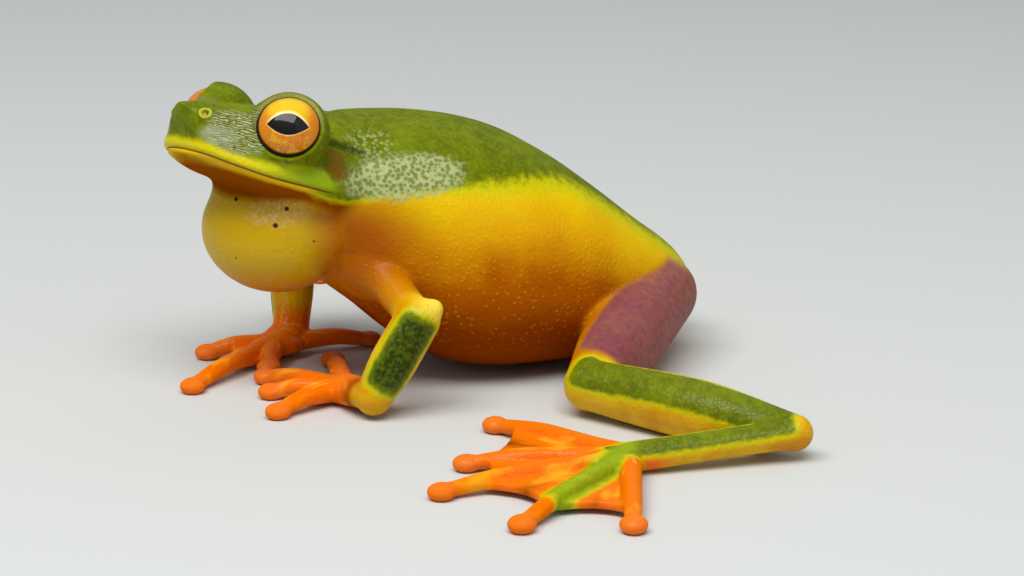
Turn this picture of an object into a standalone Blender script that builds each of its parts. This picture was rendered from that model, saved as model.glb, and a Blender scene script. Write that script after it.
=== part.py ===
"""A dainty green tree frog, sitting and calling, as a still life-size model.

The animal faces -Y, its left side is +X and the floor is z = 0. It is modelled whole from
a few driving sizes, fused into one skin, then parted by thin cuts at its joints.
Sizes are in millimetres and become metres where a mesh is made.
"""

import math

import bmesh
import bpy
import numpy as np
from mathutils import Matrix, Vector

MM = 0.001
GAP = 0.3

# Head: its own frame has l to the animal's left, a ahead along the snout and h up.
HEAD_PIVOT = (0.0, -9.6, 17.0)
HEAD_YAW, HEAD_PITCH, HEAD_ROLL = 15.0, 19.0, -4.0
SNOUT = 11.85
HEAD_BACK = -6.0
# Rows: ahead, half width at the lips, crown height, lip height, chin height, crown taper.
HEAD_ROWS = (
    (-6.0, 7.9, 4.6, -1.9, -5.4, 0.10),
    (0.0, 7.3, 4.4, -1.9, -4.2, 0.18),
    (3.0, 6.9, 3.9, -1.85, -3.4, 0.26),
    (7.0, 6.3, 3.4, -1.75, -2.55, 0.34),
    (9.6, 5.5, 2.9, -1.45, -1.85, 0.38),
    (11.85, 4.1, 2.35, -0.95, -1.25, 0.36),
)
SNOUT_ROUNDING = 2.4
SNOUT_SLANT = 0.42
MOUTH_CORNER = 2.2
LOWER_JAW_INSET = 0.22

# Eyes: the ball, the round opening of the lids, and the direction that they look in.
EYE_BALL = 2.7
EYE_OPENING = 2.3
EYE_CENTRE = (4.8, 5.95, 1.8)
EYE_LOOK = (0.70, 0.62, 0.28)
# How fast the lids' window opens outwards, which leaves its wall square to the ball.
EYE_FLARE = 1.6
ORBIT_SKIN = 0.42
LID_ROLL = 0.25

NOSTRIL = (2.35, 11.8, 1.95)
NOSTRIL_PIT = 0.26
EARDRUM = (6.7, 2.3, 0.45)
EARDRUM_RADIUS = 1.2

# Torso rows: along y, half width, back height, belly height, share of height at the widest.
TORSO_ROWS = (
    (-10.8, 3.4, 18.0, 10.4, 0.50),
    (-9.0, 6.5, 20.2, 8.0, 0.50),
    (-6.5, 8.2, 21.0, 5.9, 0.50),
    (-2.5, 9.5, 20.8, 2.5, 0.47),
    (1.0, 10.2, 20.3, 0.8, 0.46),
    (5.0, 10.5, 19.2, 0.2, 0.46),
    (9.5, 10.1, 16.8, 0.15, 0.47),
    (13.5, 8.9, 13.9, 0.35, 0.48),
    (17.5, 7.1, 10.7, 0.95, 0.50),
    (20.5, 4.9, 8.4, 2.1, 0.52),
    (22.4, 1.5, 6.4, 4.2, 0.50),
)
BACK_ROUNDING, BELLY_ROUNDING = 2.15, 2.7

# The inflated vocal sac: middle, half sizes and how far its axis dips backwards.
SAC_CENTRE = (0.4, -12.75, 12.35)
SAC_HALF = (6.35, 5.55, 4.8)
SAC_DIP = -6.0
# The flesh that carries the sac: an egg up to the jaw and one back to the chest.
THROAT_CENTRE, THROAT_HALF = (0.3, -12.75, 15.1), (5.5, 4.65, 2.7)
CHEST_CENTRE, CHEST_HALF = (0.2, -9.8, 12.7), (6.3, 4.2, 3.8)
# Where the flesh of the throat is made softer, and how far round.
SOFT_CENTRE, SOFT_REACH = (0.3, -12.0, 14.1), 6.9

# The cuts of the head meet under the jaw's corner, and run from there up, ahead and down.
HEAD_CORNER = (0.0, -0.8, -3.5)
NECK_CUT = (0.0, 3.6, 11.0)
JAW_CUT = (0.0, -14.0, 4.9)
CHEST_CUT = (0.0, 0.5, -8.5)

# Arms: joints from shoulder to wrist, left then right, with the flesh's radius at each.
ARM_JOINTS = {
    "l": ((5.2, -6.6, 10.3), (12.0, -5.4, 7.3), (12.0, -9.0, 1.7)),
    "r": ((-5.2, -7.2, 10.4), (-12.6, -6.9, 8.0), (-8.0, -8.7, 1.9)),
}
UPPER_ARM_RADII = (2.7, 1.5, 1.35)
FOREARM_RADII = (1.75, 1.8, 1.45)
ELBOW_KNOB = (0.4, 1.05, 0.75)
ELBOW_KNOB_RADIUS = 0.85

# Hands: the palm, then each finger's tip from the inner finger outwards.
PALMS = {"l": (7.0, -9.5, 0.95), "r": (-6.9, -10.2, 0.95)}
FINGER_TIPS = {
    "l": ((-2.2, -7.2), (0.3, -13.6), (4.2, -14.5), (9.2, -15.6)),
    "r": ((-6.6, -2.5), (-2.1, -12.6), (0.4, -19.6), (-8.1, -15.8)),
}
PALM_HALF = 2.15
FINGER_RADIUS = 0.76
DISC_RADIUS = 1.02
DISC_HEIGHT = 0.66
# Height of a digit's ends and how far its middle is arched over them.
DIGIT_HEIGHT = 0.55
DIGIT_ARCH = 0.35

# Hind legs: hip, knee, heel and foot root, left then right, with the flesh's radii.
LEG_JOINTS = {
    "l": ((4.5, 18.3, 5.0), (17.7, 6.2, 2.4), (32.9, 15.4, 2.0), (31.0, 3.2, 1.15)),
    "r": ((-4.5, 18.3, 5.0), (-18.4, 9.6, 2.4), (-28.0, 24.6, 2.0), (-28.2, 12.3, 1.15)),
}
THIGH_RADII = (3.1, 3.2, 2.0)
SHANK_RADII = (1.95, 2.3, 1.35)
TARSUS_RADII = (1.35, 1.25, 1.3)
TOE_TIPS = {
    "l": ((18.7, -1.9), (26.1, -7.2), (31.1, -11.1), (39.3, -8.6), (42.3, -1.8)),
    "r": ((-17.9, 4.6), (-27.3, 0.5), (-32.8, -1.2), (-39.2, 3.0), (-40.6, 10.2)),
}
TOE_RADIUS = 0.72
WEB_THICKNESS = 0.62
# Webs: how far out each holds on to its first and second digit, and how full its edge is.
HAND_WEBS = ((0.36, 0.36, 0.72), (0.66, 0.70, 0.84), (0.66, 0.66, 0.80))
FOOT_WEBS = ((0.86, 0.88, 0.88), (0.90, 0.80, 0.86), (0.85, 0.78, 0.74), (0.80, 0.84, 0.78))

# How fine the skin is fused, how far it is relaxed, and how many triangles are kept.
VOXEL = 0.22
RELAX_ROUNDS = 10
SKIN_TRIANGLES = 9500

SIDES = {"l": 1, "r": -1}
FLESH = (0.86, 0.42, 0.03)
COLOURS = {
    "head": (0.20, 0.32, 0.03),
    "torso": (0.34, 0.36, 0.03),
    "vocal_sac": (0.74, 0.50, 0.04),
    "eye": (0.85, 0.48, 0.05),
    "hand": (0.90, 0.30, 0.02),
    "foot": (0.90, 0.30, 0.02),
    "thigh": (0.42, 0.20, 0.42),
}


def clear_scene():
    for old in list(bpy.data.objects):
        bpy.data.objects.remove(old)


def new_collection(name):
    collection = bpy.data.collections.new(name)
    bpy.context.scene.collection.children.link(collection)
    return collection


def unit(vector):
    vector = np.asarray(vector, float)
    return vector / np.linalg.norm(vector)


def through(rows, at):
    """Columns of rows, read at any place along the first column on a smooth monotone curve."""
    rows = np.asarray(rows, float)
    at = np.clip(np.asarray(at, float), rows[0, 0], rows[-1, 0])
    steps = np.diff(rows[:, 0])
    slopes = np.diff(rows[:, 1:], axis=0) / steps[:, None]
    ends = np.zeros_like(rows[:, 1:])
    ends[0], ends[-1] = slopes[0], slopes[-1]
    same_way = slopes[:-1] * slopes[1:] > 0
    safe = np.where(np.abs(slopes[:-1] + slopes[1:]) < 1e-12, 1, slopes[:-1] + slopes[1:])
    ends[1:-1] = np.where(same_way, 2 * slopes[:-1] * slopes[1:] / safe, 0)
    i = np.clip(np.searchsorted(rows[:, 0], at, "right") - 1, 0, len(steps) - 1)
    step = steps[i][:, None]
    t = ((at - rows[i, 0]) / steps[i])[:, None]
    start, end = rows[i, 1:], rows[i + 1, 1:]
    return (
        start * (1 + 2 * t) * (1 - t) ** 2
        + end * t**2 * (3 - 2 * t)
        + step * t * (1 - t) * (ends[i] * (1 - t) - ends[i + 1] * t)
    )


def head_matrix():
    """Turns the head's own l, a, h into the model's x, y, z."""
    turn = (
        Matrix.Rotation(math.radians(HEAD_YAW), 3, "Z")
        @ Matrix.Rotation(math.radians(-HEAD_PITCH), 3, "X")
        @ Matrix.Rotation(math.radians(HEAD_ROLL), 3, "Y")
    )
    own_axes = np.array([[1, 0, 0], [0, -1, 0], [0, 0, 1]], float)
    return np.array(turn) @ own_axes


def from_head(points):
    return np.asarray(points, float) @ head_matrix().T + HEAD_PIVOT


def to_head(points):
    return (np.asarray(points, float) - HEAD_PIVOT) @ head_matrix()


def mirrored(point, side):
    return (point[0] * side, *point[1:])


def mesh_object(name, points, faces):
    mesh = bpy.data.meshes.new(name)
    mesh.from_pydata((np.asarray(points) * MM).tolist(), [], faces)
    made = bpy.data.objects.new(name, mesh)
    bpy.context.scene.collection.objects.link(made)
    return made


def loft(name, rings):
    """A closed skin over rings of equal point counts, given as an array of shape (rings, points, 3)."""
    count, around = rings.shape[:2]
    faces = []
    for i in range(count - 1):
        for j in range(around):
            k = (j + 1) % around
            faces.append((i * around + j, i * around + k, (i + 1) * around + k, (i + 1) * around + j))
    faces.append(tuple(reversed(range(around))))
    faces.append(tuple((count - 1) * around + j for j in range(around)))
    return outward(mesh_object(name, rings.reshape(-1, 3), faces))


def outward(made):
    cage = bmesh.new()
    cage.from_mesh(made.data)
    bmesh.ops.recalc_face_normals(cage, faces=cage.faces)
    cage.to_mesh(made.data)
    cage.free()
    return made


def power(value, exponent):
    return np.sign(value) * np.abs(value) ** exponent


def head_widths(ahead):
    """Half widths at the lips, which close round the blunt snout in plan."""
    rows = through(HEAD_ROWS, ahead)
    from_cheek = np.clip((ahead - 7.0) / (SNOUT - 7.0), 0, 1)
    closing = (1 - from_cheek**SNOUT_ROUNDING) ** (1 / SNOUT_ROUNDING)
    return (rows[:, 0] + 1.6 * from_cheek**3) * closing


def head_loft(rings=70, around=56):
    spread = np.sin(np.linspace(0, math.pi / 2, rings))
    ahead = HEAD_BACK + (SNOUT - HEAD_BACK) * spread
    _, crown, lip, chin, taper = through(HEAD_ROWS, ahead).T
    width = head_widths(ahead)
    turn = np.linspace(0, 2 * math.pi, around, endpoint=False)
    upper = np.sin(turn) >= 0
    exponent = np.where(upper, 2 / 2.7, 2 / 2.1)
    across, rise = power(np.cos(turn), exponent), power(np.sin(turn), exponent)
    shape = np.empty((rings, around, 3))
    narrowing = 1 - taper[:, None] * np.clip(rise, 0, 1)[None] ** 1.3
    inset = np.where(upper, 0, LOWER_JAW_INSET)[None] * np.clip(width, 0, 1)[:, None]
    shape[:, :, 0] = across[None] * (width[:, None] * narrowing - inset)
    height = np.where(upper[None], (crown - lip)[:, None], (lip - chin)[:, None])
    over_lip = rise[None] * height
    shape[:, :, 2] = lip[:, None] + over_lip
    slant = SNOUT_SLANT * np.clip((ahead - 7.0) / (SNOUT - 7.0), 0, 1)[:, None]
    shape[:, :, 1] = ahead[:, None] + slant * np.maximum(over_lip - 0.6, 0)
    return loft("head form", from_head(shape.reshape(-1, 3)).reshape(shape.shape))


def torso_loft(rings=64, around=56):
    along = np.linspace(TORSO_ROWS[0][0], TORSO_ROWS[-1][0], rings)
    width, back, belly, widest = through(TORSO_ROWS, along).T
    turn = np.linspace(0, 2 * math.pi, around, endpoint=False)
    exponent = 2 / np.where(np.sin(turn) >= 0, BACK_ROUNDING, BELLY_ROUNDING)
    across, rise = power(np.cos(turn), exponent), power(np.sin(turn), exponent)
    middle = belly + widest * (back - belly)
    height = np.where(rise[None] > 0, (back - middle)[:, None], (middle - belly)[:, None])
    shape = np.empty((rings, around, 3))
    shape[:, :, 0] = width[:, None] * across[None]
    shape[:, :, 1] = along[:, None]
    shape[:, :, 2] = middle[:, None] + height * rise[None]
    return loft("torso form", shape)


def tube(name, joints, radii, flat=1.0, rings=24, around=20):
    """A limb of changing radius along a smooth path, its section flattened upwards by flat."""
    joints = np.asarray(joints, float)
    reach = np.concatenate([[0], np.cumsum(np.linalg.norm(np.diff(joints, axis=0), axis=1))])
    at = np.linspace(0, reach[-1], rings)
    path = through(np.column_stack([reach, joints]), at)
    stations = np.linspace(0, reach[-1], len(radii))
    radius = through(np.column_stack([stations, radii]), at)[:, 0]
    forward = np.gradient(path, axis=0)
    forward /= np.linalg.norm(forward, axis=1)[:, None]
    side = np.cross(forward, (0, 0, 1.0))
    side /= np.linalg.norm(side, axis=1)[:, None]
    rise = np.cross(side, forward)
    turn = np.linspace(0, 2 * math.pi, around, endpoint=False)
    ring = (
        np.cos(turn)[None, :, None] * side[:, None]
        + flat * np.sin(turn)[None, :, None] * rise[:, None]
    )
    return loft(name, path[:, None] + radius[:, None, None] * ring)


def ball(name, centre, half, turn=None, segments=28):
    """A ball, or an egg with three half sizes, turned about its centre by a 3 x 3 matrix."""
    cage = bmesh.new()
    bmesh.ops.create_uvsphere(cage, u_segments=segments, v_segments=segments // 2, radius=1)
    points = np.array([vertex.co for vertex in cage.verts]) * half
    faces = [[vertex.index for vertex in face.verts] for face in cage.faces]
    cage.free()
    turn = np.eye(3) if turn is None else np.array(turn)
    return mesh_object(name, points @ turn.T + centre, faces)


def ring(name, centre, axis, radius, roll):
    """A round bead of radius roll, lying in a circle about an axis."""
    axis = unit(axis)
    side = unit(np.cross(axis, (0, 0, 1.0)))
    other = np.cross(axis, side)
    turn = np.linspace(0, 2 * math.pi, 40, endpoint=False)
    section = np.linspace(0, 2 * math.pi, 10, endpoint=False)
    out = np.cos(turn)[:, None] * side + np.sin(turn)[:, None] * other
    bead = (radius + roll * np.cos(section))[None, :, None] * out[:, None]
    points = (bead + (roll * np.sin(section))[None, :, None] * axis + centre).reshape(-1, 3)
    faces = []
    for i in range(40):
        for j in range(10):
            k, m = (i + 1) % 40, (j + 1) % 10
            faces.append((i * 10 + j, k * 10 + j, k * 10 + m, i * 10 + m))
    return outward(mesh_object(name, points, faces))


def eye_centre(side):
    return from_head(mirrored(EYE_CENTRE, side))


def eye_look(side):
    return unit(np.asarray(mirrored(EYE_LOOK, side)) @ head_matrix().T)


def orbit_forms(side):
    centre, look = eye_centre(side), eye_look(side)
    lid_plane = math.sqrt(EYE_BALL**2 - EYE_OPENING**2)
    yield ball("orbit", centre, [EYE_BALL + ORBIT_SKIN] * 3)
    yield ring("lid", centre + look * lid_plane, look, EYE_OPENING + 0.2, LID_ROLL)


def eye_opening(side):
    """The round window that the lids leave open in front of the ball."""
    centre, look = eye_centre(side), eye_look(side)
    lid_plane = math.sqrt(EYE_BALL**2 - EYE_OPENING**2)
    cage = bmesh.new()
    bmesh.ops.create_cone(
        cage, segments=48, cap_ends=True, radius1=EYE_OPENING, radius2=EYE_OPENING + EYE_FLARE * 2, depth=2
    )
    points = np.array([vertex.co for vertex in cage.verts])
    faces = [[vertex.index for vertex in face.verts] for face in cage.faces]
    cage.free()
    side_way = unit(np.cross((0, 0, 1.0), look))
    turn = np.column_stack([side_way, np.cross(look, side_way), look])
    return mesh_object("window", points @ turn.T + centre + look * (lid_plane + 0.9), faces)


def arm_forms(key):
    shoulder, elbow, wrist = ARM_JOINTS[key]
    palm = PALMS[key]
    yield ball("shoulder", shoulder, [UPPER_ARM_RADII[0]] * 3)
    yield tube("upper arm", (shoulder, elbow), UPPER_ARM_RADII)
    yield ball("elbow", elbow, [FOREARM_RADII[0]] * 3)
    knob = np.add(elbow, mirrored(ELBOW_KNOB, SIDES[key]))
    yield ball("elbow knob", knob, [ELBOW_KNOB_RADIUS] * 3)
    yield tube("forearm", (elbow, wrist), FOREARM_RADII)
    yield ball("wrist", wrist, [FOREARM_RADII[-1]] * 3)
    yield tube("wrist to palm", (wrist, palm), (FOREARM_RADII[-1], PALM_HALF * 0.8), flat=0.7)
    yield ball("palm", palm, (PALM_HALF, PALM_HALF, 0.95))
    yield from digits(palm, FINGER_TIPS[key], FINGER_RADIUS, PALM_HALF * 0.5, HAND_WEBS)


def leg_forms(key):
    hip, knee, heel, root = LEG_JOINTS[key]
    yield ball("hip", hip, [THIGH_RADII[0]] * 3)
    yield tube("thigh", (hip, knee), THIGH_RADII)
    yield ball("knee", knee, [THIGH_RADII[-1]] * 3)
    yield tube("shank", (knee, heel), SHANK_RADII)
    yield ball("heel", heel, [SHANK_RADII[-1]] * 3)
    yield tube("tarsus", (heel, root), TARSUS_RADII, flat=0.85)
    yield ball("sole", root, (1.6, 1.9, 0.95))
    yield from digits(root, TOE_TIPS[key], TOE_RADIUS, 1.0, FOOT_WEBS)


def digits(root, tips, radius, start, webs):
    """Fingers or toes that spread from one root, each with its disc, and the webs between."""
    root = np.asarray(root, float)
    ends = [np.array([*tip, DIGIT_HEIGHT]) for tip in tips]
    for tip in ends:
        way = unit(tip - root)
        base = root + way * start * 0.2
        joint = base + (tip - base) * 0.55 + (0, 0, DIGIT_ARCH)
        thickness = (radius * 1.5, radius * 1.15, radius * 1.05, radius * 0.95, radius * 0.8)
        yield tube("digit", (base, joint, tip), thickness, 0.9)
        turn = Matrix.Rotation(math.atan2(way[1], way[0]), 3, "Z")
        yield ball("disc", tip, (DISC_RADIUS * 1.05, DISC_RADIUS, DISC_HEIGHT), turn, 20)
    for first, second, (near, far, fullness) in zip(ends, ends[1:], webs):
        yield web(root, root + (first - root) * near, root + (second - root) * far, fullness)


def web(root, start, end, fullness, steps=9):
    """A thin sheet between two digits, its free edge drawn in towards the root."""
    pull = root + ((start + end) / 2 - root) * fullness
    t = np.linspace(0, 1, steps)[:, None]
    edge = (1 - t) ** 2 * start + 2 * t * (1 - t) * pull + t**2 * end
    outline = np.vstack([root, edge])
    outline[:, 2] = DIGIT_HEIGHT + 0.15
    lift = np.array([0, 0, WEB_THICKNESS / 2])
    count = len(outline)
    faces = [tuple(range(count)), tuple(reversed(range(count, 2 * count)))]
    for i in range(count):
        j = (i + 1) % count
        faces.append((j, i, count + i, count + j))
    return outward(mesh_object("web", np.vstack([outline + lift, outline - lift]), faces))


def all_forms():
    yield head_loft()
    yield torso_loft()
    dip = Matrix.Rotation(math.radians(SAC_DIP), 3, "X")
    yield ball("sac", SAC_CENTRE, SAC_HALF, dip)
    yield ball("throat", THROAT_CENTRE, THROAT_HALF)
    yield ball("chest", CHEST_CENTRE, CHEST_HALF)
    for side in SIDES.values():
        yield from orbit_forms(side)
    for key in SIDES:
        yield from arm_forms(key)
        yield from leg_forms(key)


def join(pieces, name):
    """One object that holds the meshes of several, which are then removed."""
    cage = bmesh.new()
    for piece in pieces:
        cage.from_mesh(piece.data)
        bpy.data.objects.remove(piece)
    mesh = bpy.data.meshes.new(name)
    cage.to_mesh(mesh)
    cage.free()
    made = bpy.data.objects.new(name, mesh)
    bpy.context.scene.collection.objects.link(made)
    return made


def applied(made):
    """The object with its modifiers made part of its mesh."""
    graph = bpy.context.evaluated_depsgraph_get()
    mesh = bpy.data.meshes.new_from_object(made.evaluated_get(graph))
    made.modifiers.clear()
    made.data = mesh
    return made


def fused(forms, name):
    skin = join(list(forms), name)
    remesh = skin.modifiers.new("Fuse", "REMESH")
    remesh.mode = "VOXEL"
    remesh.voxel_size = VOXEL * MM
    applied(skin)
    relax(skin)
    return skin


def relax(skin):
    """Softens the joins of the body and legs, and leaves the thin digits nearly as they are."""
    points = vertex_points(skin)
    smoothed(skin, np.clip((points[:, 2] - 1.2) / 1.5, 0.3, 1), RELAX_ROUNDS)
    off = np.linalg.norm(vertex_points(skin) - SOFT_CENTRE, axis=1)
    smoothed(skin, np.clip((SOFT_REACH - off) / 1.5, 0, 1), RELAX_ROUNDS * 8)


def smoothed(skin, weight, rounds):
    group = skin.vertex_groups.new(name="relax")
    for index, value in enumerate(weight.tolist()):
        group.add((index,), value, "REPLACE")
    smooth = skin.modifiers.new("Relax", "SMOOTH")
    smooth.factor = 0.5
    smooth.iterations = rounds
    smooth.vertex_group = group.name
    applied(skin)
    skin.vertex_groups.clear()


def vertex_points(made):
    points = np.empty(len(made.data.vertices) * 3)
    made.data.vertices.foreach_get("co", points)
    return points.reshape(-1, 3) / MM


def bump(distance, width):
    return np.exp(-((distance / width) ** 2))


def lip_height(ahead):
    return through(HEAD_ROWS, ahead)[:, 2]


def sculpt(skin, sharpness):
    """Moves points along their normals for the mouth's line, lips, eardrums and the fold above."""
    points = vertex_points(skin)
    normals = np.empty(points.size)
    skin.data.vertices.foreach_get("normal", normals)
    normals = normals.reshape(-1, 3)
    own = to_head(points)
    left, ahead, height = np.abs(own[:, 0]), own[:, 1], own[:, 2]
    over_lip = height - lip_height(ahead)
    on_mouth = np.clip((ahead - MOUTH_CORNER + 0.6) / 1.2, 0, 1)
    move = -0.34 * bump(over_lip, 0.20 * sharpness) * on_mouth
    move += 0.11 * bump(over_lip - 0.62, 0.42) * on_mouth
    move += 0.10 * bump(over_lip + 0.50, 0.32) * on_mouth
    from_drum = np.linalg.norm(
        np.column_stack([left, ahead, height]) - np.array(EARDRUM), axis=1
    )
    move += 0.16 * bump(from_drum - EARDRUM_RADIUS, 0.28 * sharpness)
    move -= 0.14 * np.clip(1 - from_drum / EARDRUM_RADIUS, 0, 1)
    fold = fold_height(ahead)
    on_fold = np.clip((left - 4.6) / 1.0, 0, 1) * np.clip((ahead + 3.0) / 2, 0, 1)
    on_fold *= np.clip((4.4 - ahead) / 1.2, 0, 1)
    move += 0.26 * bump(height - fold, 0.45) * on_fold
    points += normals * move[:, None]
    skin.data.vertices.foreach_set("co", (points * MM).ravel())
    skin.data.update()


def fold_height(ahead):
    """The skin fold that starts behind the eye and curves down behind the eardrum."""
    return 3.05 - 0.12 * (ahead - 3.0) ** 2


def cutter(made, cutters):
    made.hide_render = True
    made.display_type = "WIRE"
    bpy.context.scene.collection.objects.unlink(made)
    cutters.objects.link(made)
    return made


def slab(centre, normal, half_size):
    """A thin square plate, as thick as the gap between two neighbouring nodes."""
    normal = unit(normal)
    side = unit(np.cross(normal, (0, 0, 1.0) if abs(normal[2]) < 0.9 else (0, 1.0, 0)))
    turn = np.column_stack([side, np.cross(normal, side), normal])
    cage = bmesh.new()
    bmesh.ops.create_cube(cage, size=2)
    points = np.array([v.co for v in cage.verts]) * (*half_size, GAP / 2)
    faces = [[v.index for v in face.verts] for face in cage.faces]
    cage.free()
    return outward(mesh_object("cut", points @ turn.T + centre, faces))


def joint_cut(before, joint, after, half):
    """A plate through a joint that halves the angle between its two limb lengths."""
    normal = unit(np.subtract(before, joint)) - unit(np.subtract(after, joint))
    return slab(joint, normal, (half, half))


def head_cuts():
    """The neck, the jaw from the sac, and the sac from the chest, which meet in one line."""
    corner = from_head([HEAD_CORNER])[0]
    for way in (NECK_CUT, JAW_CUT, CHEST_CUT):
        way = np.array(way)
        middle = corner + way * 0.47
        yield oriented_slab(middle, np.cross(way, (1, 0, 0)), way, 13, np.linalg.norm(way) * 0.53)


def oriented_slab(centre, normal, along, half_across, half_along):
    """A thin plate whose long side follows a direction in its own plane."""
    normal = unit(normal)
    along = unit(np.asarray(along) - np.dot(along, normal) * normal)
    turn = np.column_stack([np.cross(along, normal), along, normal])
    cage = bmesh.new()
    bmesh.ops.create_cube(cage, size=2)
    points = np.array([v.co for v in cage.verts]) * (half_across, half_along, GAP / 2)
    faces = [[v.index for v in face.verts] for face in cage.faces]
    cage.free()
    return outward(mesh_object("cut", points @ turn.T + centre, faces))


def limb_cuts(key):
    side = SIDES[key]
    shoulder, elbow, wrist = map(np.array, ARM_JOINTS[key])
    yield slab(shoulder + (elbow - shoulder) * 0.64, elbow - shoulder, (3.0, 3.0))
    yield joint_cut(shoulder, elbow, wrist, 4.2)
    yield slab(wrist + (elbow - wrist) * 0.18, elbow - wrist, (2.6, 2.6))
    hip, knee, heel, root = map(np.array, LEG_JOINTS[key])
    front, rear = np.array([11.6 * side, 6.4, 6.0]), np.array([7.0 * side, 22.5, 6.0])
    along = rear - front
    yield oriented_slab((front + rear) / 2, np.cross(along, (0, 0, 1)), along, 8, 8.4)
    yield joint_cut(hip, knee, heel, 4.0)
    bisector = unit(unit(knee - heel) + unit(root - heel))
    fold = np.cross(bisector, (0, 0, 1))
    yield oriented_slab(heel + bisector * 4.6, fold, bisector, 4.0, 7.4)
    yield joint_cut(heel, root + (heel - root) * 0.16, root, 2.6)


def cuts():
    yield from head_cuts()
    for key, side in SIDES.items():
        yield from limb_cuts(key)
        yield ball("socket", eye_centre(side), [EYE_BALL + GAP] * 3, None, 40)
        yield eye_opening(side)
        pit = from_head(mirrored(NOSTRIL, side))
        yield ball("nostril", pit, [NOSTRIL_PIT] * 3, None, 12)
    floor = bmesh.new()
    bmesh.ops.create_cube(floor, size=100)
    points = np.array([v.co for v in floor.verts]) - (0, 0, 50)
    faces = [[v.index for v in face.verts] for face in floor.faces]
    floor.free()
    yield mesh_object("floor", points, faces)


def decimated(skin):
    skin.data.calc_loop_triangles()
    reduce = skin.modifiers.new("Reduce", "DECIMATE")
    reduce.ratio = SKIN_TRIANGLES / len(skin.data.loop_triangles)
    return applied(skin)


def cut_apart(skin, cutters):
    for made in list(cuts()):
        cutter(made, cutters)
        parting = skin.modifiers.new("Part", "BOOLEAN")
        parting.operation = "DIFFERENCE"
        parting.object = made
    return applied(skin)


def loose_parts(made):
    """The closed surfaces of a mesh, as lists of faces, with the points that they use."""
    cage = bmesh.new()
    cage.from_mesh(made.data)
    bmesh.ops.triangulate(cage, faces=cage.faces)
    cage.verts.ensure_lookup_table()
    seen, parts = set(), []
    for start in cage.verts:
        if start.index in seen or not start.link_faces:
            continue
        stack, found = [start], []
        seen.add(start.index)
        while stack:
            vertex = stack.pop()
            found.append(vertex.index)
            for edge in vertex.link_edges:
                other = edge.other_vert(vertex)
                if other.index not in seen:
                    seen.add(other.index)
                    stack.append(other)
        parts.append(found)
    points = np.array([v.co for v in cage.verts]) / MM
    faces = np.array([[v.index for v in face.verts] for face in cage.faces])
    cage.free()
    return parts, points, faces


def anchors():
    """A point in the flesh of each node, by which its piece is known after the cuts."""
    yield "head", from_head([(0, 7, 0.5)])[0]
    yield "torso", np.array([0, 6, 10])
    yield "vocal_sac", np.array(SAC_CENTRE) + (0, -2, -1)
    for key in SIDES:
        shoulder, elbow, wrist = map(np.array, ARM_JOINTS[key])
        yield f"upper_arm_{key}", shoulder + (elbow - shoulder) * 0.82
        yield f"forearm_{key}", (elbow + wrist) / 2
        yield f"hand_{key}", np.array(PALMS[key])
        hip, knee, heel, root = map(np.array, LEG_JOINTS[key])
        yield f"thigh_{key}", hip + (knee - hip) * 0.75
        yield f"shank_{key}", (knee + heel) / 2
        yield f"tarsus_{key}", (heel + root) / 2
        yield f"foot_{key}", np.array(root) + (0, -2, 0)


def inside_share(points, faces, spot):
    """How much of the view from a spot is covered by a closed surface: 1 inside it, 0 outside."""
    a, b, c = (points[faces[:, i]] - spot for i in range(3))
    na, nb, nc = (np.linalg.norm(v, axis=1) for v in (a, b, c))
    volume = np.einsum("ij,ij->i", a, np.cross(b, c))
    below = na * nb * nc + np.einsum("ij,ij->i", a, b) * nc
    below += np.einsum("ij,ij->i", b, c) * na + np.einsum("ij,ij->i", c, a) * nb
    return np.arctan2(volume, below).sum() / (2 * math.pi)


def material(name, colour):
    made = bpy.data.materials.new(name)
    made.use_nodes = True
    shader = made.node_tree.nodes["Principled BSDF"]
    shader.inputs["Base Color"].default_value = (*colour, 1)
    shader.inputs["Roughness"].default_value = 0.35
    shader.inputs["Metallic"].default_value = 0.0
    return made


def finish_node(made, name, collection):
    kind = name.rsplit("_", 1)[0] if name[-2:] in ("_l", "_r") else name
    made.name = name
    made.data.name = name
    made.data.materials.clear()
    made.data.materials.append(material(name, COLOURS.get(kind, FLESH)))
    made.data.shade_smooth()
    made.data.set_sharp_from_angle(angle=math.radians(40))
    bpy.context.scene.collection.objects.unlink(made)
    collection.objects.link(made)


def part_nodes(skin, collection):
    """Each node keeps the closed surface that holds its anchor."""
    parts, points, faces = loose_parts(skin)
    owner = np.empty(len(points), int)
    for index, part in enumerate(parts):
        owner[part] = index
    for name, spot in anchors():
        for index in range(len(parts)):
            own = faces[owner[faces[:, 0]] == index]
            if len(own) > 20 and inside_share(points, own, spot) > 0.5:
                used, renumbered = np.unique(own, return_inverse=True)
                made = mesh_object(name, points[used], renumbered.reshape(-1, 3).tolist())
                finish_node(made, name, collection)
                break
    bpy.data.objects.remove(skin)


def eyes(collection):
    for key, side in SIDES.items():
        made = ball("eye", eye_centre(side), [EYE_BALL] * 3, None, 28)
        finish_node(made, f"eye_{key}", collection)


def stand_on_origin(collection):
    """Moves every node alike, so that the whole model's box has its middle over the origin."""
    nodes = list(collection.objects)
    corners = np.vstack([vertex_points(made) for made in nodes])
    middle = (corners.min(0) + corners.max(0)) / 2 * (1, 1, 0)
    for made in nodes:
        points = (vertex_points(made) - middle) * MM
        made.data.vertices.foreach_set("co", points.ravel())
        made.data.update()


def main():
    clear_scene()
    frog = new_collection("dainty green tree frog")
    cutters = new_collection("cutters")
    skin = fused(all_forms(), "skin")
    sculpt(skin, 1.5)
    decimated(skin)
    cut_apart(skin, cutters)
    part_nodes(skin, frog)
    eyes(frog)
    stand_on_origin(frog)


main()
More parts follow.
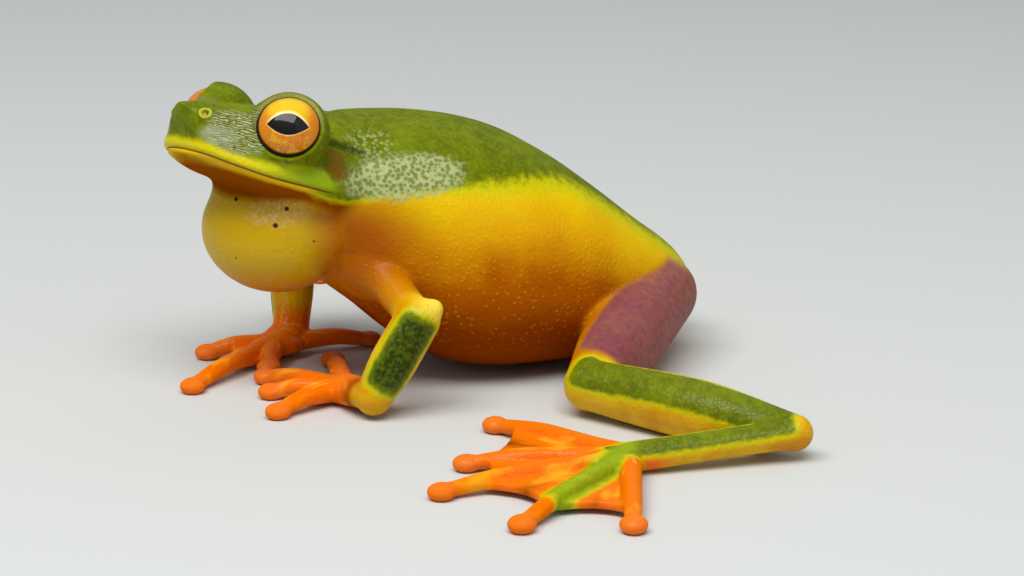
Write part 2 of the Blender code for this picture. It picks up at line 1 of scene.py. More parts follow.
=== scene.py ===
"""Looks for the dainty green tree frog: one seamless skin over its solids, and detailed eyes.

The skin is fused from the same driving sizes as the part, only finer, and then sculpted.
Sizes are in millimetres and become metres where a mesh is made. The animal faces -Y and
its left side is +X.
"""

import math

import bmesh
import bpy
import numpy as np
from mathutils import Matrix, Vector

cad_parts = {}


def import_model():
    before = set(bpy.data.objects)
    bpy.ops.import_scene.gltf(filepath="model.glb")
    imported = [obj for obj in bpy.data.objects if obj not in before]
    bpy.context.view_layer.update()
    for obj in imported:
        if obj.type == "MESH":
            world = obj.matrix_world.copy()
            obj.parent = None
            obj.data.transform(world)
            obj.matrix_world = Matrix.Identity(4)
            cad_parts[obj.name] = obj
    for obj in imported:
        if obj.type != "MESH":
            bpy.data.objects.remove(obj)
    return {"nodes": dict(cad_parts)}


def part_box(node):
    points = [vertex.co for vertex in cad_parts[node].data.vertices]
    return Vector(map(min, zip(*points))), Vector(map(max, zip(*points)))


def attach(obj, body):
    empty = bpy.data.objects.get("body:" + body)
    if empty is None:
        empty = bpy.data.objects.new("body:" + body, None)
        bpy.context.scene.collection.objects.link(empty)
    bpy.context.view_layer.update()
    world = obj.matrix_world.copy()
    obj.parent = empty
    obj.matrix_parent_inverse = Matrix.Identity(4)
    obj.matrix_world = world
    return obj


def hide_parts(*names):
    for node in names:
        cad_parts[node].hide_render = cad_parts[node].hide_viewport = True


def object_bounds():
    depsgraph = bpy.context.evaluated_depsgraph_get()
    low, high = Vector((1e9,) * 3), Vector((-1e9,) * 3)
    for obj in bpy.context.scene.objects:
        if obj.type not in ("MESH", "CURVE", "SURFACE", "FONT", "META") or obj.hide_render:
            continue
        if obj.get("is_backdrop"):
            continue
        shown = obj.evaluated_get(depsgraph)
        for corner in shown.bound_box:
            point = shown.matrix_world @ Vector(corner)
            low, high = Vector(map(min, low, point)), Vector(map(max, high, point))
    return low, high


MM = 0.001

# Head: its own frame has l to the animal's left, a ahead along the snout and h up.
HEAD_PIVOT = (0.0, -9.6, 17.0)
HEAD_YAW, HEAD_PITCH, HEAD_ROLL = 15.0, 19.0, -4.0
SNOUT = 11.85
HEAD_BACK = -6.0
# Rows: ahead, half width at the lips, crown height, lip height, chin height, crown taper.
HEAD_ROWS = (
    (-6.0, 7.9, 4.6, -1.9, -5.4, 0.10),
    (0.0, 7.3, 4.4, -1.9, -4.2, 0.18),
    (3.0, 6.9, 3.9, -1.85, -3.4, 0.26),
    (7.0, 6.3, 3.4, -1.75, -2.55, 0.34),
    (9.6, 5.5, 2.9, -1.45, -1.85, 0.38),
    (11.85, 4.1, 2.35, -0.95, -1.25, 0.36),
)
# How the snout rounds off ahead of the cheeks, and how its face leans ahead.
CHEEK_AHEAD, CHEEK_SPREAD = 7.0, 1.6
SNOUT_ROUNDING = 2.4
SNOUT_SLANT, SLANT_FROM = 0.42, 0.6
# How square the head's section is over and under the lips.
CROWN_ROUNDING, CHIN_ROUNDING = 2.7, 2.1
MOUTH_CORNER, MOUTH_FADE = 2.2, 1.2
LOWER_JAW_INSET = 0.22

# Eyes: the ball, the round opening of the lids, and the direction that they look in.
EYE_BALL = 2.7
EYE_OPENING = 2.3
# How far before the ball's middle the lids' edge lies.
LID_PLANE = math.sqrt(EYE_BALL**2 - EYE_OPENING**2)
EYE_CENTRE = (4.8, 5.95, 1.8)
EYE_LOOK = (0.70, 0.62, 0.28)
# How fast the lids' window opens outwards, which leaves its wall square to the ball.
EYE_FLARE = 1.6
WINDOW_DEPTH, WINDOW_AHEAD = 2.0, 0.9
ORBIT_SKIN = 0.42
LID_RADIUS, LID_ROLL = EYE_OPENING + 0.2, 0.25
SOCKET_GAP = 0.03

NOSTRIL = (2.1, 11.85, 1.98)
EARDRUM = (6.7, 2.3, 0.45)
EARDRUM_RADIUS = 1.2

# Torso rows: along y, half width, back height, belly height, share of height at the widest.
TORSO_ROWS = (
    (-10.8, 3.4, 18.0, 10.4, 0.50),
    (-9.0, 6.5, 20.2, 8.0, 0.50),
    (-6.5, 8.2, 21.0, 5.9, 0.50),
    (-2.5, 9.5, 20.8, 2.5, 0.47),
    (1.0, 10.2, 20.3, 0.8, 0.46),
    (5.0, 10.5, 19.2, 0.2, 0.46),
    (9.5, 10.1, 16.8, 0.15, 0.47),
    (13.5, 8.9, 13.9, 0.35, 0.48),
    (17.5, 7.1, 10.7, 0.95, 0.50),
    (20.5, 4.9, 8.4, 2.1, 0.52),
    (22.4, 1.5, 6.4, 4.2, 0.50),
)
BACK_ROUNDING, BELLY_ROUNDING = 2.15, 2.7

# The inflated vocal sac: middle, half sizes and how far its axis dips backwards.
SAC_CENTRE = (0.4, -12.75, 12.35)
SAC_HALF = (6.35, 5.55, 4.8)
SAC_DIP = -6.0
# The flesh that carries the sac: an egg up to the jaw and one back to the chest.
THROAT_CENTRE, THROAT_HALF = (0.3, -12.75, 15.1), (5.5, 4.65, 2.7)
CHEST_CENTRE, CHEST_HALF = (0.2, -9.8, 12.7), (6.3, 4.2, 3.8)
# Where the flesh of the throat is made softer, and how far round.
SOFT_CENTRE, SOFT_REACH = (0.3, -12.0, 14.1), 6.9

# Arms: joints from shoulder to wrist, left then right, with the flesh's radius at each.
ARM_JOINTS = {
    "l": ((5.2, -6.6, 10.3), (12.0, -5.4, 7.3), (12.0, -9.0, 1.7)),
    "r": ((-5.2, -7.2, 10.4), (-12.6, -6.9, 8.0), (-8.0, -8.7, 1.9)),
}
UPPER_ARM_RADII = (2.7, 1.5, 1.35)
FOREARM_RADII = (1.75, 1.8, 1.45)
ELBOW_KNOB = (0.4, 1.05, 0.75)
ELBOW_KNOB_RADIUS = 0.85

# Hands: the palm, then each finger's tip from the inner finger outwards.
PALMS = {"l": (7.0, -9.5, 0.95), "r": (-6.9, -10.2, 0.95)}
FINGER_TIPS = {
    "l": ((-2.2, -7.2), (0.3, -13.6), (4.2, -14.5), (9.2, -15.6)),
    "r": ((-6.6, -2.5), (-2.1, -12.6), (0.4, -19.6), (-8.1, -15.8)),
}
PALM_HALF = 2.15
FINGER_RADIUS = 0.76
DISC_RADIUS = 1.02
DISC_HEIGHT = 0.66
# Height of a digit's ends and how far its middle is arched over them.
DIGIT_HEIGHT = 0.55
DIGIT_ARCH = 0.35
# How thick a digit is from its root to its disc, as a share of its radius.
DIGIT_TAPER = (1.5, 1.15, 1.05, 0.95, 0.8)

# Hind legs: hip, knee, heel and foot root, left then right, with the flesh's radii.
LEG_JOINTS = {
    "l": ((4.5, 18.3, 5.0), (17.7, 6.2, 2.4), (32.9, 15.4, 2.0), (31.0, 3.2, 1.15)),
    "r": ((-4.5, 18.3, 5.0), (-18.4, 9.6, 2.4), (-28.0, 24.6, 2.0), (-28.2, 12.3, 1.15)),
}
THIGH_RADII = (3.1, 3.2, 2.0)
SHANK_RADII = (1.95, 2.3, 1.35)
TARSUS_RADII = (1.35, 1.25, 1.3)
TOE_TIPS = {
    "l": ((18.7, -1.9), (26.1, -7.2), (31.1, -11.1), (39.3, -8.6), (42.3, -1.8)),
    "r": ((-17.9, 4.6), (-27.3, 0.5), (-32.8, -1.2), (-39.2, 3.0), (-40.6, 10.2)),
}
TOE_RADIUS = 0.72
WEB_THICKNESS = 0.62
# Webs: how far out each holds on to its first and second digit, and how full its edge is.
HAND_WEBS = ((0.36, 0.36, 0.72), (0.66, 0.70, 0.84), (0.66, 0.66, 0.80))
FOOT_WEBS = ((0.86, 0.88, 0.88), (0.90, 0.80, 0.86), (0.85, 0.78, 0.74), (0.80, 0.84, 0.78))

SIDES = {"l": 1, "r": -1}

# How fine the skin is fused, and how far all of it and the throat are relaxed.
VOXEL = 0.125
RELAX_ROUNDS, THROAT_ROUNDS = 30, 240

# Where the green of the back ends on the flank: along y, height.
GREEN_EDGE = (
    (-11.0, 15.6), (-6.8, 16.0), (-1.0, 16.1), (4.0, 16.0), (6.7, 15.8), (9.0, 15.3),
    (12.0, 13.6), (16.0, 10.9), (20.0, 8.0), (22.4, 6.2),
)
# Where along y that edge grows softer, and by what share.
EDGE_SOFTENS, EDGE_SOFTNESS = (-4.0, 3.0), 0.6
# How far down from it the flank turns orange and darkens, the darkening being painted shade.
FLANK_DEPTH = 15.5
# Where, along the head's own a, the lips' edge gives way to the torso's.
NECK = (2.2, -1.6)

# Markings down the limbs: which way each faces on the left side, half its width, and how far
# it stops short of the joint at either end.
FOREARM_PATCH = ((0.97, -0.34, 0.05), 1.75, (-0.5, 0.5))
SHANK_STRIPE = ((0.35, -0.45, 0.82), 1.7, (-1.0, 0.0))
TARSUS_STRIPE = ((0.55, -0.10, 0.82), 0.95, (0.2, -2.2))
THIGH_VIOLET = ((0.45, 0.62, 0.65), 3.9, (-6.0, 1.6))
# Green along the fourth toe: how far out it runs, as a share of the toe, and half its width.
TOE_STRIPE_SHARE, TOE_STRIPE_HALF = 0.7, 1.2
# Reach of the orange round digits and palm, and of the pale skin on the elbow, partly a painted
# highlight.
DIGIT_REACH, PALM_REACH, KNOB_REACH = 2.6, 2.7, 1.4

# Height of the pale band over the mouth line at the snout, which doubles towards the corner.
LIP_BAND = 0.75
# How far from an eye's line of sight, and from its middle, the rim of its lids reaches.
RIM_REACH = (3.4, 4.2)

# Relief of the face. Each pair is a height, or a depth, and a width.
MOUTH_GROOVE = (0.20, 0.12)
# Swell of the lips: height, width, and how far over the mouth line, or under it.
UPPER_SWELL, LOWER_SWELL = (0.12, 0.40, 0.55), (0.12, 0.28, -0.42)
DRUM_BRIM, DRUM_HOLLOW = (0.06, 0.25), 0.12
NOSTRIL_BRIM, NOSTRIL_BRIM_RADIUS, NOSTRIL_HOLE = (0.14, 0.14), 0.42, (0.45, 0.24)
# The ridge from nostril to eye, in the head's own l, a, h: its two ends.
SNOUT_RIDGE, RIDGE_RELIEF = ((2.3, 11.2, 2.2), (3.9, 8.6, 3.2)), (0.20, 0.55)
# The fold over the eardrum: its two ends, its groove, and the ridge that stands over it.
FOLD = ((5.0, 3.2, 2.0), (6.25, 0.1, 1.6))
FOLD_GROOVE, FOLD_RIDGE, FOLD_RISE = (0.24, 0.24), (0.22, 0.50), 0.55
CREASE_HALF = 0.30
# The hollow before the eye, as an ellipsoid: its middle, half sizes and depth.
LORE_HOLLOW, LORE_DEPTH = ((4.9, 9.9, 0.9), (1.6, 2.0, 1.2)), 0.30

# Ellipsoids that mark soft places on the left side, mirrored to the right: middle, half sizes,
# and how deep in each begins and is full. The head's are in its own l, a, h.
HEAD_PLACES = {
    "wrinkle": ((4.1, 9.7, 1.3), (2.6, 3.0, 2.3), (0, 0.35)),
    # A smooth painted sheen before the eye.
    "sheen": ((3.2, 11.0, 0.45), (1.9, 1.9, 0.9), (0, 0.5)),
}
BODY_PLACES = {
    # Pale granules over the shoulder, under a painted sheen.
    "frost_and_sheen": ((7.3, -4.6, 17.2), (2.8, 6.2, 2.3), (0, 0.5)),
    "spray": ((5.0, -6.6, 19.4), (2.2, 2.6, 1.6), (0, 0.5)),
    # A pale painted highlight on the top of the sac.
    "sac_sheen": ((5.4, -14.1, 14.9), (2.6, 3.6, 1.3), (0, 0.7)),
    # Painted shade on the flank between the sac and the shoulder.
    "shoulder_shade": ((6.9, -7.6, 12.2), (3.8, 6.4, 5.0), (-0.25, 0.8)),
}

# The sac's yellow: its upper limit, and where it turns orange behind and below.
SAC_TOP, SAC_SPREAD = 15.7, 0.8
SAC_TURNS_BEHIND, SAC_TURNS_BELOW = (-13.0, -9.2), (11.4, 7.8)
# Dark specks on the sac's left side: x, y, z and radius.
SAC_SPECKS = (
    (3.06, -16.52, 15.66, 0.17), (5.68, -13.4, 15.24, 0.17), (5.94, -14.38, 14.08, 0.2),
    (6.51, -11.64, 12.63, 0.1), (4.1, -17.0, 11.36, 0.1), (4.79, -10.25, 9.66, 0.1),
)

CAMERA_AZIMUTH, CAMERA_ELEVATION = 67.0, 15.0
CAMERA_DISTANCE = 229.0
CAMERA_LENS = 100.0
CAMERA_TARGET = (0.0, 7.36, 5.45)

# Soft boxes: azimuth, elevation, distance in metres, width and height, and power.
LIGHTS = {
    "key": (48, 63, 0.42, (0.46, 0.20), 2.0),
    "fill": (120, 30, 0.5, (0.4, 0.4), 0.2),
    "back": (235, 50, 0.5, (0.5, 0.5), 0.2),
}
# Height in metres of the point that the lights face.
LIT_HEIGHT = 0.01


def lengths(vectors):
    return np.linalg.norm(vectors, axis=1)


def unit(vector):
    vector = np.asarray(vector, float)
    return vector / np.linalg.norm(vector)


def through(rows, at):
    """Columns of rows, read at any place along the first column on a smooth monotone curve."""
    rows = np.asarray(rows, float)
    at = np.clip(np.asarray(at, float), rows[0, 0], rows[-1, 0])
    steps = np.diff(rows[:, 0])
    slopes = np.diff(rows[:, 1:], axis=0) / steps[:, None]
    ends = np.zeros_like(rows[:, 1:])
    ends[0], ends[-1] = slopes[0], slopes[-1]
    before, after = slopes[:-1], slopes[1:]
    safe = np.where(np.abs(before + after) < 1e-12, 1, before + after)
    ends[1:-1] = np.where(before * after > 0, 2 * before * after / safe, 0)
    i = np.clip(np.searchsorted(rows[:, 0], at, "right") - 1, 0, len(steps) - 1)
    step = steps[i][:, None]
    t = ((at - rows[i, 0]) / steps[i])[:, None]
    start, end = rows[i, 1:], rows[i + 1, 1:]
    return (
        start * (1 + 2 * t) * (1 - t) ** 2
        + end * t**2 * (3 - 2 * t)
        + step * t * (1 - t) * (ends[i] * (1 - t) - ends[i + 1] * t)
    )


def head_matrix():
    """Turns the head's own l, a, h into the model's x, y, z."""
    turn = (
        Matrix.Rotation(math.radians(HEAD_YAW), 3, "Z")
        @ Matrix.Rotation(math.radians(-HEAD_PITCH), 3, "X")
        @ Matrix.Rotation(math.radians(HEAD_ROLL), 3, "Y")
    )
    own_axes = np.array([[1, 0, 0], [0, -1, 0], [0, 0, 1]], float)
    return np.array(turn) @ own_axes


def from_head(points):
    return np.asarray(points, float) @ head_matrix().T + HEAD_PIVOT


def to_head(points):
    return (np.asarray(points, float) - HEAD_PIVOT) @ head_matrix()


def mirrored(point, side):
    return (point[0] * side, *point[1:])


def placed(name, data):
    made = bpy.data.objects.new(name, data)
    bpy.context.scene.collection.objects.link(made)
    return made


def mesh_object(name, points, faces):
    mesh = bpy.data.meshes.new(name)
    mesh.from_pydata((np.asarray(points) * MM).tolist(), [], faces)
    return placed(name, mesh)


def cage_object(name, cage):
    mesh = bpy.data.meshes.new(name)
    cage.to_mesh(mesh)
    cage.free()
    return placed(name, mesh)


def cage_parts(cage):
    """The points and faces of a cage, which is then freed."""
    points = np.array([vertex.co for vertex in cage.verts])
    faces = [[vertex.index for vertex in face.verts] for face in cage.faces]
    cage.free()
    return points, faces


def quads(rings, around, gaps):
    """Faces over so many gaps between rings of points; with as many as rings, it closes up."""
    faces = []
    for i in range(gaps):
        for j in range(around):
            k, m = (i + 1) % rings * around, (j + 1) % around
            faces.append((i * around + j, i * around + m, k + m, k + j))
    return faces


def loft(name, rings):
    """A closed skin over rings of equal point counts, given as an array of shape (rings, points, 3)."""
    count, around = rings.shape[:2]
    faces = quads(count, around, count - 1)
    faces.append(tuple(reversed(range(around))))
    faces.append(tuple((count - 1) * around + j for j in range(around)))
    return outward(mesh_object(name, rings.reshape(-1, 3), faces))


def outward(made):
    cage = bmesh.new()
    cage.from_mesh(made.data)
    bmesh.ops.recalc_face_normals(cage, faces=cage.faces)
    cage.to_mesh(made.data)
    cage.free()
    return made


def full_turn(count):
    return np.linspace(0, 2 * math.pi, count, endpoint=False)


def section(around, over, under):
    """A ring, squarer or rounder over and under its middle: across, upwards, and where it is upper."""
    turn = full_turn(around)
    upper = np.sin(turn) >= 0
    way = np.array([np.cos(turn), np.sin(turn)])
    across, rise = np.sign(way) * np.abs(way) ** (2 / np.where(upper, over, under))
    return across, rise, upper


def past_cheek(ahead):
    """0 at the cheeks and 1 at the snout's tip."""
    return np.clip((ahead - CHEEK_AHEAD) / (SNOUT - CHEEK_AHEAD), 0, 1)


def head_widths(ahead):
    """Half widths at the lips, which close round the blunt snout in plan."""
    rows = through(HEAD_ROWS, ahead)
    onwards = past_cheek(ahead)
    closing = (1 - onwards**SNOUT_ROUNDING) ** (1 / SNOUT_ROUNDING)
    return (rows[:, 0] + CHEEK_SPREAD * onwards**3) * closing


def head_loft(rings=70, around=56):
    spread = np.sin(np.linspace(0, math.pi / 2, rings))
    ahead = HEAD_BACK + (SNOUT - HEAD_BACK) * spread
    _, crown, lip, chin, taper = through(HEAD_ROWS, ahead).T[:, :, None]
    width = head_widths(ahead)[:, None]
    across, rise, upper = section(around, CROWN_ROUNDING, CHIN_ROUNDING)
    shape = np.empty((rings, around, 3))
    narrowing = 1 - taper * np.clip(rise, 0, 1) ** 1.3
    inset = np.where(upper, 0, LOWER_JAW_INSET) * np.clip(width, 0, 1)
    shape[:, :, 0] = across * (width * narrowing - inset)
    over_lip = rise * np.where(upper, crown - lip, lip - chin)
    shape[:, :, 2] = lip + over_lip
    slant = SNOUT_SLANT * past_cheek(ahead)[:, None]
    shape[:, :, 1] = ahead[:, None] + slant * np.maximum(over_lip - SLANT_FROM, 0)
    return loft("head form", from_head(shape.reshape(-1, 3)).reshape(shape.shape))


def torso_loft(rings=64, around=56):
    along = np.linspace(TORSO_ROWS[0][0], TORSO_ROWS[-1][0], rings)
    width, back, belly, widest = through(TORSO_ROWS, along).T[:, :, None]
    across, rise, _ = section(around, BACK_ROUNDING, BELLY_ROUNDING)
    middle = belly + widest * (back - belly)
    shape = np.empty((rings, around, 3))
    shape[:, :, 0] = width * across
    shape[:, :, 1] = along[:, None]
    shape[:, :, 2] = middle + np.where(rise > 0, back - middle, middle - belly) * rise
    return loft("torso form", shape)


def tube(name, joints, radii, flat=1.0, rings=24, around=20):
    """A limb of changing radius along a smooth path, its section flattened upwards by flat."""
    joints = np.asarray(joints, float)
    reach = np.concatenate([[0], np.cumsum(lengths(np.diff(joints, axis=0)))])
    at = np.linspace(0, reach[-1], rings)
    path = through(np.column_stack([reach, joints]), at)
    radius = radius_along(radii, at / reach[-1])
    forward = np.gradient(path, axis=0)
    forward /= lengths(forward)[:, None]
    side = np.cross(forward, (0, 0, 1.0))
    side /= lengths(side)[:, None]
    rise = np.cross(side, forward)
    turn = full_turn(around)[None, :, None]
    wall = np.cos(turn) * side[:, None] + flat * np.sin(turn) * rise[:, None]
    return loft(name, path[:, None] + radius[:, None, None] * wall)


def ball(name, centre, half, turn=None, segments=28):
    """A ball, or an egg where half is three half sizes, turned about its centre by a matrix."""
    cage = bmesh.new()
    bmesh.ops.create_uvsphere(cage, u_segments=segments, v_segments=segments // 2, radius=1)
    points, faces = cage_parts(cage)
    turn = np.eye(3) if turn is None else np.array(turn)
    return mesh_object(name, points * half @ turn.T + centre, faces)


def ring(name, centre, axis, radius, roll, around=40, sides=10):
    """A round bead of radius roll, lying in a circle about an axis."""
    axis = unit(axis)
    side = unit(np.cross(axis, (0, 0, 1.0)))
    other = np.cross(axis, side)
    turn, swing = full_turn(around)[:, None], full_turn(sides)[None, :, None]
    out = np.cos(turn) * side + np.sin(turn) * other
    bead = (radius + roll * np.cos(swing)) * out[:, None]
    points = (bead + roll * np.sin(swing) * axis + centre).reshape(-1, 3)
    return outward(mesh_object(name, points, quads(around, sides, around)))


def eye_centre(side):
    return from_head(mirrored(EYE_CENTRE, side))


def eye_look(side):
    return unit(np.asarray(mirrored(EYE_LOOK, side)) @ head_matrix().T)


def orbit_forms(side):
    centre, look = eye_centre(side), eye_look(side)
    yield ball("orbit", centre, EYE_BALL + ORBIT_SKIN)
    yield ring("lid", centre + look * LID_PLANE, look, LID_RADIUS, LID_ROLL)


def eye_opening(side):
    """The round window that the lids leave open in front of the ball."""
    centre, look = eye_centre(side), eye_look(side)
    cage = bmesh.new()
    widest = EYE_OPENING + EYE_FLARE * WINDOW_DEPTH
    bmesh.ops.create_cone(
        cage, segments=48, cap_ends=True, radius1=EYE_OPENING, radius2=widest, depth=WINDOW_DEPTH
    )
    points, faces = cage_parts(cage)
    side_way = unit(np.cross((0, 0, 1.0), look))
    turn = np.column_stack([side_way, np.cross(look, side_way), look])
    return mesh_object("window", points @ turn.T + centre + look * (LID_PLANE + WINDOW_AHEAD), faces)


def arm_forms(key):
    shoulder, elbow, wrist = ARM_JOINTS[key]
    palm = PALMS[key]
    yield ball("shoulder", shoulder, UPPER_ARM_RADII[0])
    yield tube("upper arm", (shoulder, elbow), UPPER_ARM_RADII)
    yield ball("elbow", elbow, FOREARM_RADII[0])
    knob = np.add(elbow, mirrored(ELBOW_KNOB, SIDES[key]))
    yield ball("elbow knob", knob, ELBOW_KNOB_RADIUS)
    yield tube("forearm", (elbow, wrist), FOREARM_RADII)
    yield ball("wrist", wrist, FOREARM_RADII[-1])
    yield tube("wrist to palm", (wrist, palm), (FOREARM_RADII[-1], PALM_HALF * 0.8), flat=0.7)
    yield ball("palm", palm, (PALM_HALF, PALM_HALF, 0.95))
    yield from digits(palm, FINGER_TIPS[key], FINGER_RADIUS, PALM_HALF * 0.5, HAND_WEBS)


def leg_forms(key):
    hip, knee, heel, root = LEG_JOINTS[key]
    yield ball("hip", hip, THIGH_RADII[0])
    yield tube("thigh", (hip, knee), THIGH_RADII)
    yield ball("knee", knee, THIGH_RADII[-1])
    yield tube("shank", (knee, heel), SHANK_RADII)
    yield ball("heel", heel, SHANK_RADII[-1])
    yield tube("tarsus", (heel, root), TARSUS_RADII, flat=0.85)
    yield ball("sole", root, (1.6, 1.9, 0.95))
    yield from digits(root, TOE_TIPS[key], TOE_RADIUS, 1.0, FOOT_WEBS)


def digits(root, tips, radius, start, webs):
    """Fingers or toes that spread from one root, each with its disc, and the webs between."""
    root = np.asarray(root, float)
    ends = [np.array([*tip, DIGIT_HEIGHT]) for tip in tips]
    for tip in ends:
        way = unit(tip - root)
        base = root + way * start * 0.2
        joint = base + (tip - base) * 0.55 + (0, 0, DIGIT_ARCH)
        yield tube("digit", (base, joint, tip), np.array(DIGIT_TAPER) * radius, 0.9)
        turn = Matrix.Rotation(math.atan2(way[1], way[0]), 3, "Z")
        yield ball("disc", tip, (DISC_RADIUS * 1.05, DISC_RADIUS, DISC_HEIGHT), turn, 20)
    for first, second, (near, far, fullness) in zip(ends, ends[1:], webs):
        yield web(root, root + (first - root) * near, root + (second - root) * far, fullness)


def web(root, start, end, fullness, steps=9):
    """A thin sheet between two digits, its free edge drawn in towards the root."""
    pull = root + ((start + end) / 2 - root) * fullness
    t = np.linspace(0, 1, steps)[:, None]
    edge = (1 - t) ** 2 * start + 2 * t * (1 - t) * pull + t**2 * end
    outline = np.vstack([root, edge])
    outline[:, 2] = DIGIT_HEIGHT + 0.15
    lift = np.array([0, 0, WEB_THICKNESS / 2])
    count = len(outline)
    faces = [tuple(range(count)), tuple(reversed(range(count, 2 * count)))]
    for i in range(count):
        j = (i + 1) % count
        faces.append((j, i, count + i, count + j))
    return outward(mesh_object("web", np.vstack([outline + lift, outline - lift]), faces))


def all_forms():
    yield head_loft()
    yield torso_loft()
    dip = Matrix.Rotation(math.radians(SAC_DIP), 3, "X")
    yield ball("sac", SAC_CENTRE, SAC_HALF, dip)
    yield ball("throat", THROAT_CENTRE, THROAT_HALF)
    yield ball("chest", CHEST_CENTRE, CHEST_HALF)
    for side in SIDES.values():
        yield from orbit_forms(side)
    for key in SIDES:
        yield from arm_forms(key)
        yield from leg_forms(key)


def join(pieces, name):
    """One object that holds the meshes of several, which are then removed."""
    cage = bmesh.new()
    for piece in pieces:
        cage.from_mesh(piece.data)
        bpy.data.objects.remove(piece)
    return cage_object(name, cage)


def applied(made):
    """The object with its modifiers made part of its mesh."""
    graph = bpy.context.evaluated_depsgraph_get()
    mesh = bpy.data.meshes.new_from_object(made.evaluated_get(graph))
    made.modifiers.clear()
    made.data = mesh
    return made


def fused(forms, name):
    skin = join(list(forms), name)
    remesh = skin.modifiers.new("Fuse", "REMESH")
    remesh.mode = "VOXEL"
    remesh.voxel_size = VOXEL * MM
    applied(skin)
    relax(skin)
    return skin


def relax(skin):
    """Softens the joins of the body and legs, and leaves the thin digits nearly as they are."""
    points = vertex_points(skin)
    smoothed(skin, np.clip((points[:, 2] - 1.2) / 1.5, 0.3, 1), RELAX_ROUNDS)
    away = far_from(vertex_points(skin), SOFT_CENTRE)
    smoothed(skin, np.clip((SOFT_REACH - away) / 1.5, 0, 1), THROAT_ROUNDS)


def smoothed(skin, weight, rounds):
    group = skin.vertex_groups.new(name="relax")
    for index, value in enumerate(weight.tolist()):
        group.add((index,), value, "REPLACE")
    smooth = skin.modifiers.new("Relax", "SMOOTH")
    smooth.factor = 0.5
    smooth.iterations = rounds
    smooth.vertex_group = group.name
    applied(skin)
    skin.vertex_groups.clear()


def vertex_values(made, name):
    values = np.empty(len(made.data.vertices) * 3)
    made.data.vertices.foreach_get(name, values)
    return values.reshape(-1, 3)


def vertex_points(made):
    return vertex_values(made, "co") / MM


def far_from(points, place):
    """Distance of each point from one place."""
    return lengths(points - np.array(place))


def bump(distance, height, width):
    """A smooth mound as high as this where the distance is 0."""
    return height * np.exp(-((distance / width) ** 2))


def height_over_lip(own):
    return own[:, 2] - through(HEAD_ROWS, own[:, 1])[:, 2]


def smoothstep(low, high, value):
    t = np.clip((value - low) / (high - low), 0, 1)
    return t * t * (3 - 2 * t)


def put_points(made, points):
    made.data.vertices.foreach_set("co", (points * MM).ravel())
    made.data.update()


def outer(points):
    """Each point, or its mirror image on the left where it lies on the right."""
    return points * np.where(points[:, :1] < 0, (-1, 1, 1), (1, 1, 1))


def head_places(points):
    """The head's own l, a, h of each point, with l counted outwards on both sides."""
    return outer(to_head(points))


def from_line(places, start, end):
    """Distance of each point from the stretch between two points."""
    start, end = np.asarray(start, float), np.asarray(end, float)
    along = end - start
    t = np.clip((places - start) @ along / (along @ along), 0, 1)
    return lengths(places - start - t[:, None] * along)


def mouth_share(ahead):
    return np.clip((ahead - MOUTH_CORNER) / MOUTH_FADE + 0.5, 0, 1)


def within(places, centre, half):
    """1 in the middle of an ellipsoid, 0 on its surface and negative outside."""
    return 1 - lengths((places - np.array(centre)) / half)


def sculpt_head(skin):
    """Moves points along their normals for the face: lips, nostrils, ridges, eardrum and fold."""
    points, normals = vertex_points(skin), vertex_values(skin, "normal")
    own = head_places(points)
    over_lip, on_mouth = height_over_lip(own), mouth_share(own[:, 1])
    move = -bump(over_lip, *MOUTH_GROOVE) * on_mouth
    for *swell, place in (UPPER_SWELL, LOWER_SWELL):
        move += bump(over_lip - place, *swell) * on_mouth
    from_drum = far_from(own, EARDRUM)
    move += bump(from_drum - EARDRUM_RADIUS, *DRUM_BRIM)
    move -= DRUM_HOLLOW * np.clip(1 - from_drum / EARDRUM_RADIUS, 0, 1)
    move += bump(from_line(own - (0, 0, FOLD_RISE), *FOLD), *FOLD_RIDGE)
    move -= bump(from_line(own, *FOLD), *FOLD_GROOVE)
    from_nostril = far_from(own, NOSTRIL)
    move += bump(from_nostril - NOSTRIL_BRIM_RADIUS, *NOSTRIL_BRIM)
    move -= bump(from_nostril, *NOSTRIL_HOLE)
    move += bump(from_line(own, *SNOUT_RIDGE), *RIDGE_RELIEF)
    move -= bump(1 - within(own, *LORE_HOLLOW), LORE_DEPTH, 1.0)
    put_points(skin, points + normals * move[:, None])


def carved(skin):
    """Opens the round window of the lids and the socket in which each eye sits."""
    for side in SIDES.values():
        socket = ball("socket", eye_centre(side), EYE_BALL + SOCKET_GAP, None, 64)
        for made in (socket, eye_opening(side)):
            cut = skin.modifiers.new("Open", "BOOLEAN")
            cut.operation = "DIFFERENCE"
            cut.solver = "MANIFOLD"
            cut.object = made
            applied(skin)
            bpy.data.objects.remove(made)


def segment_places(points, start, end):
    """The way and length of a limb's part; each point's place along it, distance and way off it."""
    start = np.array(start)
    length, along = np.linalg.norm(end - start), unit(end - start)
    place = (points - start) @ along
    outwards = points - start - place[:, None] * along
    distance = lengths(outwards)
    return along, length, place, distance, outwards / np.maximum(distance, 1e-6)[:, None]


def radius_along(radii, share):
    stations = np.linspace(0, 1, len(radii))
    return through(np.column_stack([stations, radii]), np.clip(share, 0, 1))[:, 0]


def limb_zone(points, start, end, radii, spare):
    """Positive on the skin of a limb length and negative away from it, in millimetres."""
    _, length, place, distance, _ = segment_places(points, start, end)
    beyond = np.maximum(np.maximum(-place, place - length), 0)
    return radius_along(radii, place / length) + spare - np.hypot(distance, beyond)


